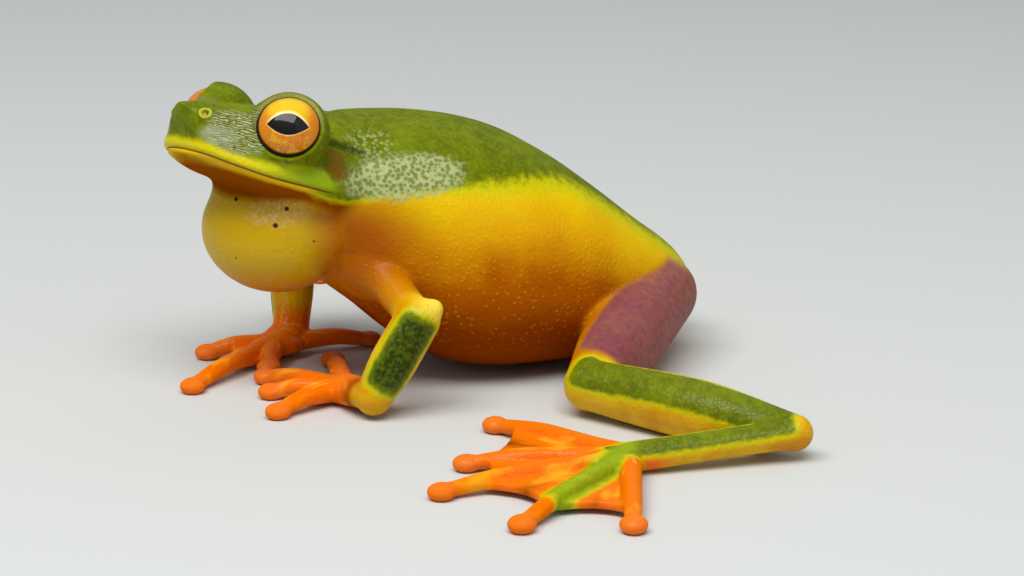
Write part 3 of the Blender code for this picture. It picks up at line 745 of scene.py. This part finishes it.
def stripe_zone(points, start, end, radii, side, marking):
    """Positive inside a blunt stripe that runs down the side of a limb that faces one way."""
    facing, half, inset = marking
    along, length, place, distance, outwards = segment_places(points, start, end)
    facing = np.array(mirrored(facing, side))
    facing = unit(facing - (facing @ along) * along)
    arc = np.arccos(np.clip(outwards @ facing, -1, 1)) * np.minimum(distance, max(radii))
    beyond = np.maximum(inset[0] + half - place, place - (length - inset[1] - half))
    stripe = half - (arc**4 + np.maximum(beyond, 0) ** 4) ** 0.25
    return np.minimum(stripe, limb_zone(points, start, end, radii, 0.8))


def rim_fields(points):
    """Distance from each eye's line of sight near its lids, and 1 over the eye to -1 under it."""
    rim, above = np.full(len(points), 9.0), np.zeros(len(points))
    for side in SIDES.values():
        away = points - eye_centre(side)
        ahead = away @ eye_look(side)
        across = away - ahead[:, None] * eye_look(side)
        radial = lengths(across)
        near = (ahead > 0) & (radial < RIM_REACH[0]) & (lengths(away) < RIM_REACH[1])
        rim = np.where(near, radial, rim)
        above = np.where(near, across[:, 2] / np.maximum(radial, 1e-6), above)
    return {"rim": rim, "rim_above": above}


def zones(points):
    """Named fields over the skin, most in millimetres and positive inside their zone."""
    own = head_places(points)
    ahead, over_lip = own[:, 1], height_over_lip(own)
    behind = smoothstep(*NECK, ahead)
    over_edge = points[:, 2] - through(GREEN_EDGE, points[:, 1])[:, 0]
    back = over_edge * (1 - EDGE_SOFTNESS * smoothstep(*EDGE_SOFTENS, points[:, 1]))
    # The green goes a little under the mouth line towards the corner of the mouth.
    under_mouth = 0.42 * smoothstep(5.0, 2.8, ahead)
    in_sac = within(points, SAC_CENTRE, np.array(SAC_HALF) + SAC_SPREAD)
    specks = [(points[np.argmin(far_from(points, place))], radius) for *place, radius in SAC_SPECKS]
    found = {
        "over_lip": over_lip,
        "on_mouth": mouth_share(ahead),
        "snout": np.clip(ahead / SNOUT, 0, 1),
        "lip_band": LIP_BAND * (1 + smoothstep(10, 4, ahead)) - over_lip,
        "green": (over_lip + under_mouth) * (1 - behind) + back * behind,
        "under": np.clip(-over_edge / FLANK_DEPTH, 0, 1),
        "nostril": far_from(own, NOSTRIL),
        "eardrum": EARDRUM_RADIUS - lengths((own - np.array(EARDRUM)) / (1, 0.92, 1.15)),
        "crease": CREASE_HALF - from_line(own, *FOLD),
        # Under the lips, where the throat is painted darker as shade under the jaw.
        "throat": np.minimum(2.5 * (-over_lip - 0.33), ahead - 0.5),
        "sac": np.minimum(5 * in_sac, 1.5 * (SAC_TOP - points[:, 2])),
        "sac_warm": np.maximum(
            smoothstep(*SAC_TURNS_BEHIND, points[:, 1]), smoothstep(*SAC_TURNS_BELOW, points[:, 2])
        ),
        "speck": np.min([far_from(points, place) / radius for place, radius in specks], axis=0),
    }
    for places, table in ((own, HEAD_PLACES), (outer(points), BODY_PLACES)):
        for name, (centre, half, fade) in table.items():
            found[name] = smoothstep(*fade, within(places, centre, half))
    found.update(rim_fields(points))
    found.update(limb_fields(points))
    found["green"] = np.maximum(found["green"], found.pop("stripe"))
    return {**found, "head_place": own, "ray_place": ray_places(points)}


def limb_fields(points):
    """Fields of the arms and legs, of both sides together."""
    found = {}

    def widen(name, field):
        found[name] = np.maximum(found.get(name, -9.0), field)

    for key, side in SIDES.items():
        shoulder, elbow, wrist = ARM_JOINTS[key]
        hip, knee, heel, root = LEG_JOINTS[key]
        palm = PALMS[key]
        forearm, shank = (elbow, wrist, FOREARM_RADII), (knee, heel, SHANK_RADII)
        thigh, tarsus = (hip, knee, THIGH_RADII), (heel, root, TARSUS_RADII)
        for length in ((shoulder, elbow, UPPER_ARM_RADII), thigh):
            widen("upper", limb_zone(points, *length, 0.2))
        for length in (forearm, shank, tarsus):
            widen("lower", limb_zone(points, *length, 0.35))
        knob = np.array(elbow) + mirrored(ELBOW_KNOB, side)
        widen("knob", KNOB_REACH - far_from(points, knob))
        widen("patch", stripe_zone(points, *forearm, side, FOREARM_PATCH))
        widen("stripe", stripe_zone(points, *shank, side, SHANK_STRIPE))
        widen("stripe", stripe_zone(points, *tarsus, side, TARSUS_STRIPE))
        violet = stripe_zone(points, *thigh, side, THIGH_VIOLET)
        widen("violet", np.minimum(violet, limb_zone(points, *thigh, 0.05) * 2))
        toe = np.array((*TOE_TIPS[key][3], DIGIT_HEIGHT)) - root
        widen("lime", TOE_STRIPE_HALF - from_line(points, root, root + toe * TOE_STRIPE_SHARE))
        for start, tips in ((palm, FINGER_TIPS[key]), (root, TOE_TIPS[key])):
            for tip in tips:
                tip = (*tip, DIGIT_HEIGHT)
                widen("digit", DIGIT_REACH - from_line(points, start, tip))
                widen("disc", DISC_RADIUS + 0.1 - far_from(points, tip))
        widen("digit", PALM_REACH - far_from(points, palm))
    found["stripe"] = np.max([found[name] for name in ("stripe", "patch", "lime")], axis=0)
    return found


def ray_places(points):
    """Places that run out from the nearest palm or foot root: how far round, and how far out."""
    roots = [*PALMS.values(), *(leg[-1] for leg in LEG_JOINTS.values())]
    away = np.array([points - np.array(root) for root in roots])
    nearest = np.argmin(np.linalg.norm(away, axis=2), axis=0)
    away = away[nearest, np.arange(len(points))]
    reach = lengths(away[:, :2])
    turn = np.arctan2(away[:, 1], away[:, 0])
    return np.column_stack([np.cos(turn) * 5, np.sin(turn) * 5, reach * 0.25])


def store(made, name, values):
    """Keeps a value, or a vector, for every point of the mesh, for the material to read."""
    kind, part = ("FLOAT_VECTOR", "vector") if values.ndim == 2 else ("FLOAT", "value")
    attribute = made.data.attributes.new(name, kind, "POINT")
    attribute.data.foreach_set(part, values.astype(np.float32).ravel())


def rgb(red, green, blue):
    """A screen colour, 0 to 255 a channel, as the linear values that shaders take."""
    screen = np.array((red, green, blue)) / 255
    linear = np.where(screen <= 0.04045, screen / 12.92, ((screen + 0.055) / 1.055) ** 2.4)
    return (*linear.tolist(), 1.0)


class Graph:
    """A material's node tree, in which each call adds a node and gives its result."""

    def __init__(self, name):
        self.material = bpy.data.materials.new(name)
        self.material.use_nodes = True
        self.tree = self.material.node_tree
        self.shader = self.tree.nodes["Principled BSDF"]

    def plug(self, socket, value):
        if isinstance(value, bpy.types.NodeSocket):
            self.tree.links.new(value, socket)
        else:
            socket.default_value = value

    def add(self, kind, inputs, **settings):
        node = self.tree.nodes.new(f"ShaderNode{kind}")
        for name, value in settings.items():
            setattr(node, name, value)
        for name, value in inputs.items():
            self.plug(node.inputs[name], value)
        return node

    def field(self, name):
        return self.add("Attribute", {}, attribute_name=name).outputs["Fac"]

    def place(self, name):
        return self.add("Attribute", {}, attribute_name=name).outputs["Vector"]

    def math(self, operation, *values):
        return self.add("Math", dict(enumerate(values)), operation=operation).outputs[0]

    def step(self, value, low, high):
        """0 below low and 1 above high, smooth between, or the other way round if low is higher."""
        inputs = {"Value": value, "From Min": low, "From Max": high}
        return self.add("MapRange", inputs, interpolation_type="SMOOTHSTEP").outputs[0]

    def times(self, first, second):
        return self.math("MULTIPLY", first, second)

    def times_add(self, first, second, third):
        return self.math("MULTIPLY_ADD", first, second, third)

    def mix(self, factor, first, second):
        inputs = {0: factor, 6: first, 7: second}
        return self.add("Mix", inputs, data_type="RGBA").outputs[2]

    def stretched(self, vector, scale):
        inputs = {0: vector, 1: scale}
        return self.add("VectorMath", inputs, operation="MULTIPLY").outputs[0]

    def noise(self, vector, scale, detail=3.0, distortion=0.0):
        inputs = {"Vector": vector, "Scale": scale, "Detail": detail, "Distortion": distortion}
        return self.add("TexNoise", inputs).outputs["Fac"]

    def cells(self, vector, scale, randomness=1.0):
        inputs = {"Vector": vector, "Scale": scale, "Randomness": randomness}
        return self.add("TexVoronoi", inputs).outputs["Distance"]

    def waves(self, vector, scale, distortion):
        inputs = {"Vector": vector, "Scale": scale, "Distortion": distortion, "Detail Scale": 1.3}
        return self.add("TexWave", inputs, bands_direction="Z").outputs["Fac"]

    def ramp(self, factor, stops):
        node = self.add("ValToRGB", {"Fac": factor})
        elements = node.color_ramp.elements
        while len(elements) < len(stops):
            elements.new(0.5)
        for element, (at, colour) in zip(elements, stops):
            element.position, element.color = at, colour
        return node.outputs["Color"]

    def relief(self, height, depth):
        inputs = {"Height": height, "Distance": depth * MM, "Strength": 1.0}
        return self.add("Bump", inputs).outputs["Normal"]

    def shade(self, values):
        for name, value in values.items():
            self.plug(self.shader.inputs[name], value)


# The flank from the green's edge down to the belly: its own yellow turning orange, then a darker
# orange-brown towards the belly that is painted shade.
FLANK = (
    (0.00, rgb(228, 194, 4)), (0.22, rgb(222, 162, 3)), (0.45, rgb(182, 98, 3)),
    (0.70, rgb(148, 64, 3)), (1.00, rgb(140, 58, 4)),
)
FLANK_DOT = rgb(238, 170, 40)
GREEN_DEEP, GREEN_MID, GREEN_BRIGHT = rgb(90, 101, 3), rgb(108, 120, 4), rgb(130, 145, 8)
PATCH_DEEP, PATCH_GRAIN = rgb(42, 52, 3), rgb(74, 92, 8)
LIP_YELLOW, LIP_LIME = rgb(218, 202, 8), rgb(150, 174, 12)
LOWER_LIP, LOWER_LIP_BACK = rgb(224, 172, 22), rgb(112, 136, 12)
# Brown-orange under the jaw and behind the sac: the skin's orange darkened as painted shade.
THROAT_ORANGE_SHADE, SHOULDER_SHADE = rgb(142, 70, 2), rgb(170, 88, 2)
LIMB_GOLD, LIMB_ORANGE = rgb(206, 138, 5), rgb(188, 106, 4)
LOWER_LIMB = rgb(228, 188, 16)
# The elbow knob's pale yellow, partly a painted highlight.
KNOB_PALE_HIGHLIGHT = rgb(240, 214, 70)
# The sac's olive and orange, and a pale painted highlight for its top.
SAC_OLIVE, SAC_ORANGE, SAC_PAINTED_SHEEN = rgb(200, 162, 3), rgb(184, 108, 2), rgb(224, 184, 128)
VIOLET = rgb(100, 46, 88)
DIGIT_ORANGE, DIGIT_STREAK, DISC_ORANGE = rgb(240, 114, 4), rgb(250, 160, 26), rgb(238, 118, 30)
STRIPE_EDGE = rgb(196, 190, 10)
# Pale granules and the pale ground between them over the shoulder, partly painted sheen.
FROST_AND_SHEEN, FROST_SHEEN_GROUND = rgb(178, 184, 130), rgb(134, 144, 78)
# Before the eye: a darker ground, pale wrinkles that are partly painted sheen, and a pale painted
# sheen.
LORE_WRINKLE_SHEEN, LORE_DARK, LORE_SHEEN = rgb(184, 188, 136), rgb(104, 112, 50), rgb(166, 170, 130)
DRUM_BROWN, DRUM_OLIVE = rgb(116, 80, 8), rgb(84, 88, 10)
# Pale brim of the nostrils, and painted shade in their pits.
NOSTRIL_RING, NOSTRIL_SHADE = rgb(178, 176, 50), rgb(70, 40, 4)
# A painted highlight over the top of each lid's rim, and painted shadow at its edge by the ball.
RIM_HIGHLIGHT, RIM_SHADOW = rgb(168, 172, 96), rgb(40, 24, 6)
# Brown of the mouth line, and painted shadow for the fold's crease.
MOUTH_DARK, CREASE_SHADOW = rgb(122, 86, 8), rgb(44, 54, 4)
SPECK = rgb(60, 26, 8)


class SkinGraph(Graph):
    """A graph that paints zone over zone with shared fine patterns, and keeps each zone's share."""

    def __init__(self, name):
        super().__init__(name)
        self.colour, self.found = None, {}
        self.own = self.add("TexCoord", {}).outputs["Object"]
        self.broad = self.noise(self.own, 260)
        self.mottle = self.noise(self.own, 1100, 4)
        self.fine = self.noise(self.own, 3200, 2)
        self.ragged = self.math("SUBTRACT", self.noise(self.own, 1700, 3), 0.5)
        self.grains = self.step(self.cells(self.own, 2700), 0.60, 0.25)

    def zone(self, name, soft, rough=0.0, at=0.0):
        """1 where a field is over a value, with an edge that is soft and ragged by so much."""
        value = self.times_add(self.ragged, rough, self.field(name))
        self.found[name] = self.step(value, at - soft, at + soft)
        return self.found[name]

    def paint(self, share, shade, strength=1.0):
        """Lays a shade over the colour so far, and gives back its share of each place."""
        self.colour = self.mix(self.times(share, strength), self.colour, shade)
        return share


def paint_flesh(g):
    """Flank, limbs, throat, sac, thighs, digits and elbows, with painted shade down the flank, under
    the jaw and behind the sac, and painted highlights on the sac and, partly, on the elbows.
    """
    under = g.field("under")
    # The flank's colours, darker towards the belly as painted shade.
    g.colour = g.ramp(g.times_add(g.math("SUBTRACT", g.broad, 0.5), 0.3, under), FLANK)
    on_flank = g.times(g.step(under, 0.08, 0.3), g.step(under, 0.95, 0.6))
    dots = g.times(g.step(g.cells(g.own, 2000, 0.8), 0.34, 0.14), on_flank)
    g.found["dots"] = g.paint(dots, FLANK_DOT, 0.28)
    g.paint(g.zone("upper", 0.5), g.mix(g.step(g.broad, 0.3, 0.7), LIMB_ORANGE, LIMB_GOLD))
    g.paint(g.zone("lower", 0.5), g.mix(g.step(g.broad, 0.3, 0.75), LOWER_LIMB, LIMB_GOLD))
    # Painted shade between the sac and the shoulder.
    g.paint(g.field("shoulder_shade"), SHOULDER_SHADE)
    # Brown-orange under the jaw: the throat's orange with painted shade.
    g.paint(g.zone("throat", 0.5), THROAT_ORANGE_SHADE)
    g.paint(g.zone("sac", 0.7, 0.3), g.mix(g.field("sac_warm"), SAC_OLIVE, SAC_ORANGE))
    # A painted highlight on the sac's top, pale and wrinkled; the same share also gives relief.
    scaly_sheen = g.times(g.step(g.noise(g.own, 2600, 4, 1.5), 0.42, 0.60), g.field("sac_sheen"))
    g.found["scaly_sheen"] = g.paint(scaly_sheen, SAC_PAINTED_SHEEN, 0.65)
    g.paint(g.zone("violet", 0.6, 0.4), VIOLET)
    streaks = g.step(g.noise(g.place("ray_place"), 1.1, 2), 0.52, 0.68)
    g.paint(g.zone("digit", 1.0, 0.6), g.mix(streaks, DIGIT_ORANGE, DIGIT_STREAK))
    g.paint(g.zone("disc", 0.25), DISC_ORANGE)
    # The elbow knob's pale yellow, partly a painted highlight.
    g.paint(g.zone("knob", 0.7, 0.3), KNOB_PALE_HIGHLIGHT)


def paint_green(g):
    """The green back, head and stripes, with their yellow edge and the forearms' dark patches."""
    g.paint(g.zone("green", 0.28, 0.5, -0.22), STRIPE_EDGE)
    green = g.mix(g.step(g.mottle, 0.35, 0.7), GREEN_DEEP, GREEN_MID)
    green = g.mix(g.times(g.step(g.broad, 0.45, 0.8), 0.6), green, GREEN_BRIGHT)
    green = g.mix(g.times(g.grains, 0.30), green, GREEN_BRIGHT)
    speckle = g.step(g.times_add(g.grains, 0.12, g.fine), 0.42, 0.72)
    green = g.mix(g.zone("patch", 0.35, 0.4, 0.55), green, g.mix(speckle, PATCH_DEEP, PATCH_GRAIN))
    green = g.mix(g.times(g.zone("lime", 0.3), 0.7), green, LIP_LIME)
    g.paint(g.zone("green", 0.22, 0.5, 0.12), green)


def paint_lips(g):
    on_mouth, snout = g.field("on_mouth"), g.field("snout")
    on_lip = g.times(g.times(g.zone("lip_band", 0.35, 0.4), g.zone("over_lip", 0.08)), on_mouth)
    g.found["lip"] = g.paint(on_lip, g.mix(g.step(snout, 0.4, 0.85), LIP_LIME, LIP_YELLOW))
    low = g.math("SUBTRACT", 1.0, g.zone("over_lip", 0.05))
    low = g.times(g.zone("over_lip", 0.10, 0.0, -0.28), low)
    g.paint(g.times(low, on_mouth), g.mix(g.step(snout, 0.22, 0.42), LOWER_LIP_BACK, LOWER_LIP))


def paint_frost_and_sheen(g):
    """Pale wrinkles before the eye, partly painted sheen, with a painted sheen below them, and pale
    granules over the shoulder under a painted sheen, with green pits.
    """
    head, on_lore = g.place("head_place"), g.field("wrinkle")
    wrinkle = g.waves(g.stretched(head, (0.6, 0.6, 1.0)), 1.75, 9.0)
    broken = g.step(g.noise(head, 3.0, 2), 0.32, 0.50)
    # Pale wrinkles before the eye, their pale partly painted sheen.
    g.paint(on_lore, LORE_DARK, 0.6)
    g.paint(g.times(g.times(g.step(wrinkle, 0.3, 0.6), broken), on_lore), LORE_WRINKLE_SHEEN, 0.9)
    g.found["wrinkles"] = g.times(wrinkle, on_lore)
    # A pale painted sheen, broken by fine noise.
    g.paint(g.times(g.times_add(g.fine, 0.8, 0.35), g.field("sheen")), LORE_SHEEN)
    # A painted sheen over the shoulder's pale granules, broken by green pits.
    frost_sheen_zone = g.times(g.zone("frost_and_sheen", 0.42, 1.3, 0.48), g.step(g.field("frost_and_sheen"), 0.0, 0.2))
    g.paint(frost_sheen_zone, FROST_SHEEN_GROUND, 0.5)
    between_pits = g.step(g.times_add(g.fine, 0.35, g.cells(g.own, 2900)), 0.46, 0.86)
    spray = g.times(g.field("spray"), 0.5)
    frost_and_sheen = g.times_add(g.grains, spray, g.times(between_pits, frost_sheen_zone))
    g.found["frost_and_sheen"] = g.paint(frost_and_sheen, FROST_AND_SHEEN, 0.85)


def paint_details(g):
    """Eardrum, fold with painted shadow in its crease, nostrils with painted shade in their pits, lids'
    rims with a painted highlight over them and painted shadow at their edge, mouth line and specks.
    """
    drum = g.mix(g.step(g.mottle, 0.42, 0.66), DRUM_BROWN, DRUM_OLIVE)
    g.paint(g.zone("eardrum", 0.25, 0.5), drum, 0.85)
    # Painted shadow in the crease along the fold.
    g.paint(g.zone("crease", 0.25), CREASE_SHADOW, 0.85)
    g.paint(g.step(g.field("nostril"), 0.56, 0.46), NOSTRIL_RING)
    # Painted shade in the nostrils' pits.
    g.paint(g.step(g.field("nostril"), 0.36, 0.26), NOSTRIL_SHADE)
    rim = g.field("rim")
    # A painted highlight on the upper side of the lids' rims.
    rim_highlight = g.times(g.step(rim, 2.72, 2.56), g.step(g.field("rim_above"), -0.2, 0.6))
    g.paint(rim_highlight, RIM_HIGHLIGHT, 0.9)
    # Painted shadow in the gap at the lids' edge, where there is no highlight.
    g.paint(g.times(g.step(rim, 2.44, 2.34), g.step(rim_highlight, 1.3, 0.2)), RIM_SHADOW)
    line = g.step(g.math("ABSOLUTE", g.field("over_lip")), 0.09, 0.03)
    g.paint(g.times(line, g.field("on_mouth")), MOUTH_DARK)
    g.paint(g.step(g.field("speck"), 1.2, 0.8), SPECK)


# Height of each kind of bump, as a share of the deepest relief, and how wet each zone is.
RELIEF, RELIEF_DEPTH = {"frost_and_sheen": 0.5, "wrinkles": 1.4, "dots": 0.5, "scaly_sheen": 0.25}, 0.06
GRAIN_RELIEF, FINE_RELIEF = 0.30, 0.2
WETNESS = {"upper": 0.28, "lower": 0.35, "digit": 0.3, "lip": 0.35, "green": 0.22}
FLANK_WETNESS, SAC_WETNESS = 0.16, 0.48


def skin_relief(g):
    height = g.times_add(g.fine, FINE_RELIEF, g.times(g.grains, GRAIN_RELIEF))
    for name, share in RELIEF.items():
        height = g.times_add(g.found[name], share, height)
    return g.relief(height, RELIEF_DEPTH)


def skin_wetness(g):
    """Wettest on the sac and dry on the throat over it."""
    sac = g.found["sac"]
    wet = g.times(g.step(g.field("under"), 0.5, 0.1), FLANK_WETNESS)
    for name, share in WETNESS.items():
        wet = g.math("MAXIMUM", wet, g.times(g.found[name], share))
    dry = g.times(g.found["throat"], g.math("SUBTRACT", 1.0, sac))
    wet = g.times(wet, g.math("SUBTRACT", 1.0, dry))
    return g.math("MAXIMUM", wet, g.times(g.times(sac, sac), SAC_WETNESS))


def skin_material():
    """The whole skin's colours, zone over zone, with its fine granules as relief."""
    g = SkinGraph("frog_skin")
    for paint in (paint_flesh, paint_green, paint_lips, paint_frost_and_sheen, paint_details):
        paint(g)
    relief = skin_relief(g)
    g.shade({
        "Base Color": g.colour, "Normal": relief, "Coat Normal": relief,
        "Roughness": g.times_add(g.mottle, 0.2, 0.24), "Coat Weight": skin_wetness(g),
        "Specular IOR Level": 0.0, "Coat Roughness": 0.26, "Subsurface Weight": 0.12,
        "Subsurface Scale": 0.8 * MM, "Subsurface Radius": (1.0, 0.5, 0.2),
    })
    return g.material


# The eye: the iris, half the pupil's width and height, its drop and turn, and the cornea.
IRIS_RADIUS = 2.23
PUPIL_HALF = (1.575, 0.82)
PUPIL_DROP, PUPIL_TURN = 0.23, math.radians(5.5)
CORNEA_RISE = 0.12
# The right iris is more orange than the left one.
EYE_WARMTH = {"l": 0.0, "r": 0.8}
IRIS_YELLOW, IRIS_ORANGE = rgb(238, 192, 3), rgb(226, 132, 14)
IRIS_AMBER, IRIS_WARM = rgb(222, 128, 16), rgb(214, 96, 14)
IRIS_VEIN, PUPIL_RIM = rgb(140, 78, 10), rgb(255, 232, 160)
EYE_RIM, PUPIL_BLACK = rgb(34, 12, 4), rgb(4, 3, 3)


def eye_material():
    """Iris, lens-shaped pupil with its pale rim, and the dark edge, under a wet clear coat."""
    g = Graph("frog_eye")
    place = g.place("eye_place")
    split = g.add("SeparateXYZ", {"Vector": place})
    across, up = split.outputs[0], split.outputs[1]

    def square(value):
        return g.times(value, value)

    from_middle = g.math(
        "ADD", square(g.math("SUBTRACT", across, 0.05)), square(g.math("SUBTRACT", up, 0.06))
    )
    radial = g.math("POWER", from_middle, 0.5)
    drop = g.math("ADD", up, PUPIL_DROP)
    turned = g.times_add(drop, -math.sin(PUPIL_TURN), across)
    risen = g.times_add(across, math.sin(PUPIL_TURN), drop)

    # Yellow over the pupil, orange under it and at both ends, with dark veins.
    veins = g.noise(g.stretched(place, (0.8, 1.5, 1.0)), 3.6, 4, 2.2)
    edgeward = g.math("ABSOLUTE", across)
    height = g.times_add(edgeward, -0.42, g.times_add(g.math("SUBTRACT", veins, 0.5), 0.9, risen))
    iris = g.mix(g.step(height, 0.7, -0.4), IRIS_YELLOW, IRIS_ORANGE)
    iris = g.mix(g.times(g.step(g.noise(place, 1.6, 2), 0.5, 0.62), 0.55), iris, IRIS_YELLOW)
    lines = g.step(g.math("ABSOLUTE", g.math("SUBTRACT", veins, 0.5)), 0.055, 0.0)
    low = g.times_add(g.step(risen, 0.1, -0.7), 0.6, 0.22)
    iris = g.mix(g.times(lines, low), iris, IRIS_VEIN)
    iris = g.mix(g.step(edgeward, 1.2, 2.0), iris, IRIS_AMBER)
    iris = g.mix(g.field("eye_warmth"), iris, IRIS_WARM)

    # The pupil is 1 at its edge, where two curves meet in points, and has a pale rim.
    lens = square(g.times(turned, 1 / PUPIL_HALF[0]))
    lens = g.times_add(g.math("ABSOLUTE", risen), 1 / PUPIL_HALF[1], lens)
    upper = g.step(risen, 0.0, 0.5)
    off_edge = g.math("DIVIDE", g.math("SUBTRACT", lens, 1.0), g.times_add(upper, 0.26, 0.12))
    rim = g.times(g.step(off_edge, 1.2, 0.2), g.times_add(upper, 0.35, 0.6))
    colour = g.mix(rim, iris, PUPIL_RIM)
    colour = g.mix(g.step(lens, 1.04, 0.98), colour, PUPIL_BLACK)
    colour = g.mix(g.step(radial, IRIS_RADIUS - 0.06, IRIS_RADIUS + 0.04), colour, EYE_RIM)
    g.shade({
        "Base Color": colour, "Normal": g.relief(veins, 0.02), "Roughness": 0.5,
        "Specular IOR Level": 0.1, "Coat Weight": 1.0, "Coat Roughness": 0.03, "Coat IOR": 1.36,
    })
    return g.material


def eye_ball(key, material):
    """A ball that stands proud at the cornea, with each point's place across, up and ahead."""
    side = SIDES[key]
    look = eye_look(side)
    across = unit(np.cross((0, 0, 1.0), look)) * side
    up = unit(np.cross(look, across)) * side
    turn = np.column_stack([across, up, look])
    made = ball(f"eye_ball_{key}", (0, 0, 0), EYE_BALL, None, 128)
    points = vertex_points(made)
    cornea = CORNEA_RISE * smoothstep(0.45, 1.0, points[:, 2] / EYE_BALL)
    points *= (1 + cornea / EYE_BALL)[:, None]
    store(made, "eye_place", points)
    store(made, "eye_warmth", np.full(len(points), EYE_WARMTH[key]))
    put_points(made, points @ turn.T + eye_centre(side))
    made.data.materials.append(material)
    made.data.shade_smooth()
    return made


def frog_skin():
    """The whole skin with its eye windows and the material's fields, flat where it would dip."""
    skin = fused(all_forms(), "skin")
    sculpt_head(skin)
    carved(skin)
    points = vertex_points(skin)
    points[:, 2] = np.maximum(points[:, 2], 0)
    put_points(skin, points)
    for name, values in zones(points).items():
        store(skin, name, values)
    skin.data.materials.clear()
    skin.data.materials.append(skin_material())
    skin.data.shade_smooth()
    skin.data.set_sharp_from_angle(angle=math.radians(55))
    return skin


def moved(made, offset):
    put_points(made, vertex_points(made) + offset)
    return made


def aimed(made, target, azimuth, elevation, distance):
    """Puts a camera or light where it faces a target; azimuth 0 is in front and 90 to the left."""
    a, e = math.radians(azimuth), math.radians(elevation)
    away = Vector((math.sin(a) * math.cos(e), -math.cos(a) * math.cos(e), math.sin(e)))
    made.location = target + away * distance
    made.rotation_euler = away.to_track_quat("Z", "Y").to_euler()


def floor():
    cage = bmesh.new()
    bmesh.ops.create_circle(cage, cap_ends=True, segments=96, radius=4.0)
    made = cage_object("floor", cage)
    g = Graph("pale_floor")
    g.shade({"Base Color": rgb(206, 208, 204), "Roughness": 0.85})
    made.data.materials.append(g.material)
    made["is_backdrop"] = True


def soft_light(name, azimuth, elevation, distance, size, power):
    """A wide soft box that faces the animal, its size given as width and height."""
    light = bpy.data.lights.new(name, "AREA")
    light.shape = "RECTANGLE"
    light.size, light.size_y = size
    light.energy = power
    aimed(placed(name, light), Vector((0, 0, LIT_HEIGHT)), azimuth, elevation, distance)


def studio():
    floor()
    for name, settings in LIGHTS.items():
        soft_light(name, *settings)
    world = bpy.data.worlds.new("studio")
    world.use_nodes = True
    background = world.node_tree.nodes["Background"]
    background.inputs["Color"].default_value = (0.9, 0.95, 1.0, 1)
    background.inputs["Strength"].default_value = 0.3
    bpy.context.scene.world = world
    bpy.context.scene.view_settings.view_transform = "Standard"


def photo_camera(offset):
    camera = bpy.data.cameras.new("photo camera")
    camera.lens, camera.sensor_width, camera.clip_start = CAMERA_LENS, 36.0, 0.005
    made = placed("photo camera", camera)
    target = Vector((np.array(CAMERA_TARGET) + offset) * MM)
    aimed(made, target, CAMERA_AZIMUTH, CAMERA_ELEVATION, CAMERA_DISTANCE * MM)
    bpy.context.scene.camera = made


def rows(box):
    return [[round(value, 6) for value in corner] for corner in box]


def main():
    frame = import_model()
    cad_box = rows(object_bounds())
    low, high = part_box("eye_l")
    offset = np.array((low + high) / 2) / MM - eye_centre(1)
    skin = moved(frog_skin(), offset)
    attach(skin, "root")
    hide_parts(*(name for name in frame["nodes"] if not name.startswith("eye")))
    wet = eye_material()
    for key in SIDES:
        eye = moved(eye_ball(key, wet), offset)
        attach(eye, "root")
        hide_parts(f"eye_{key}")
    studio()
    photo_camera(offset)
    {"cad": cad_box, "visual": rows(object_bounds())}


main()
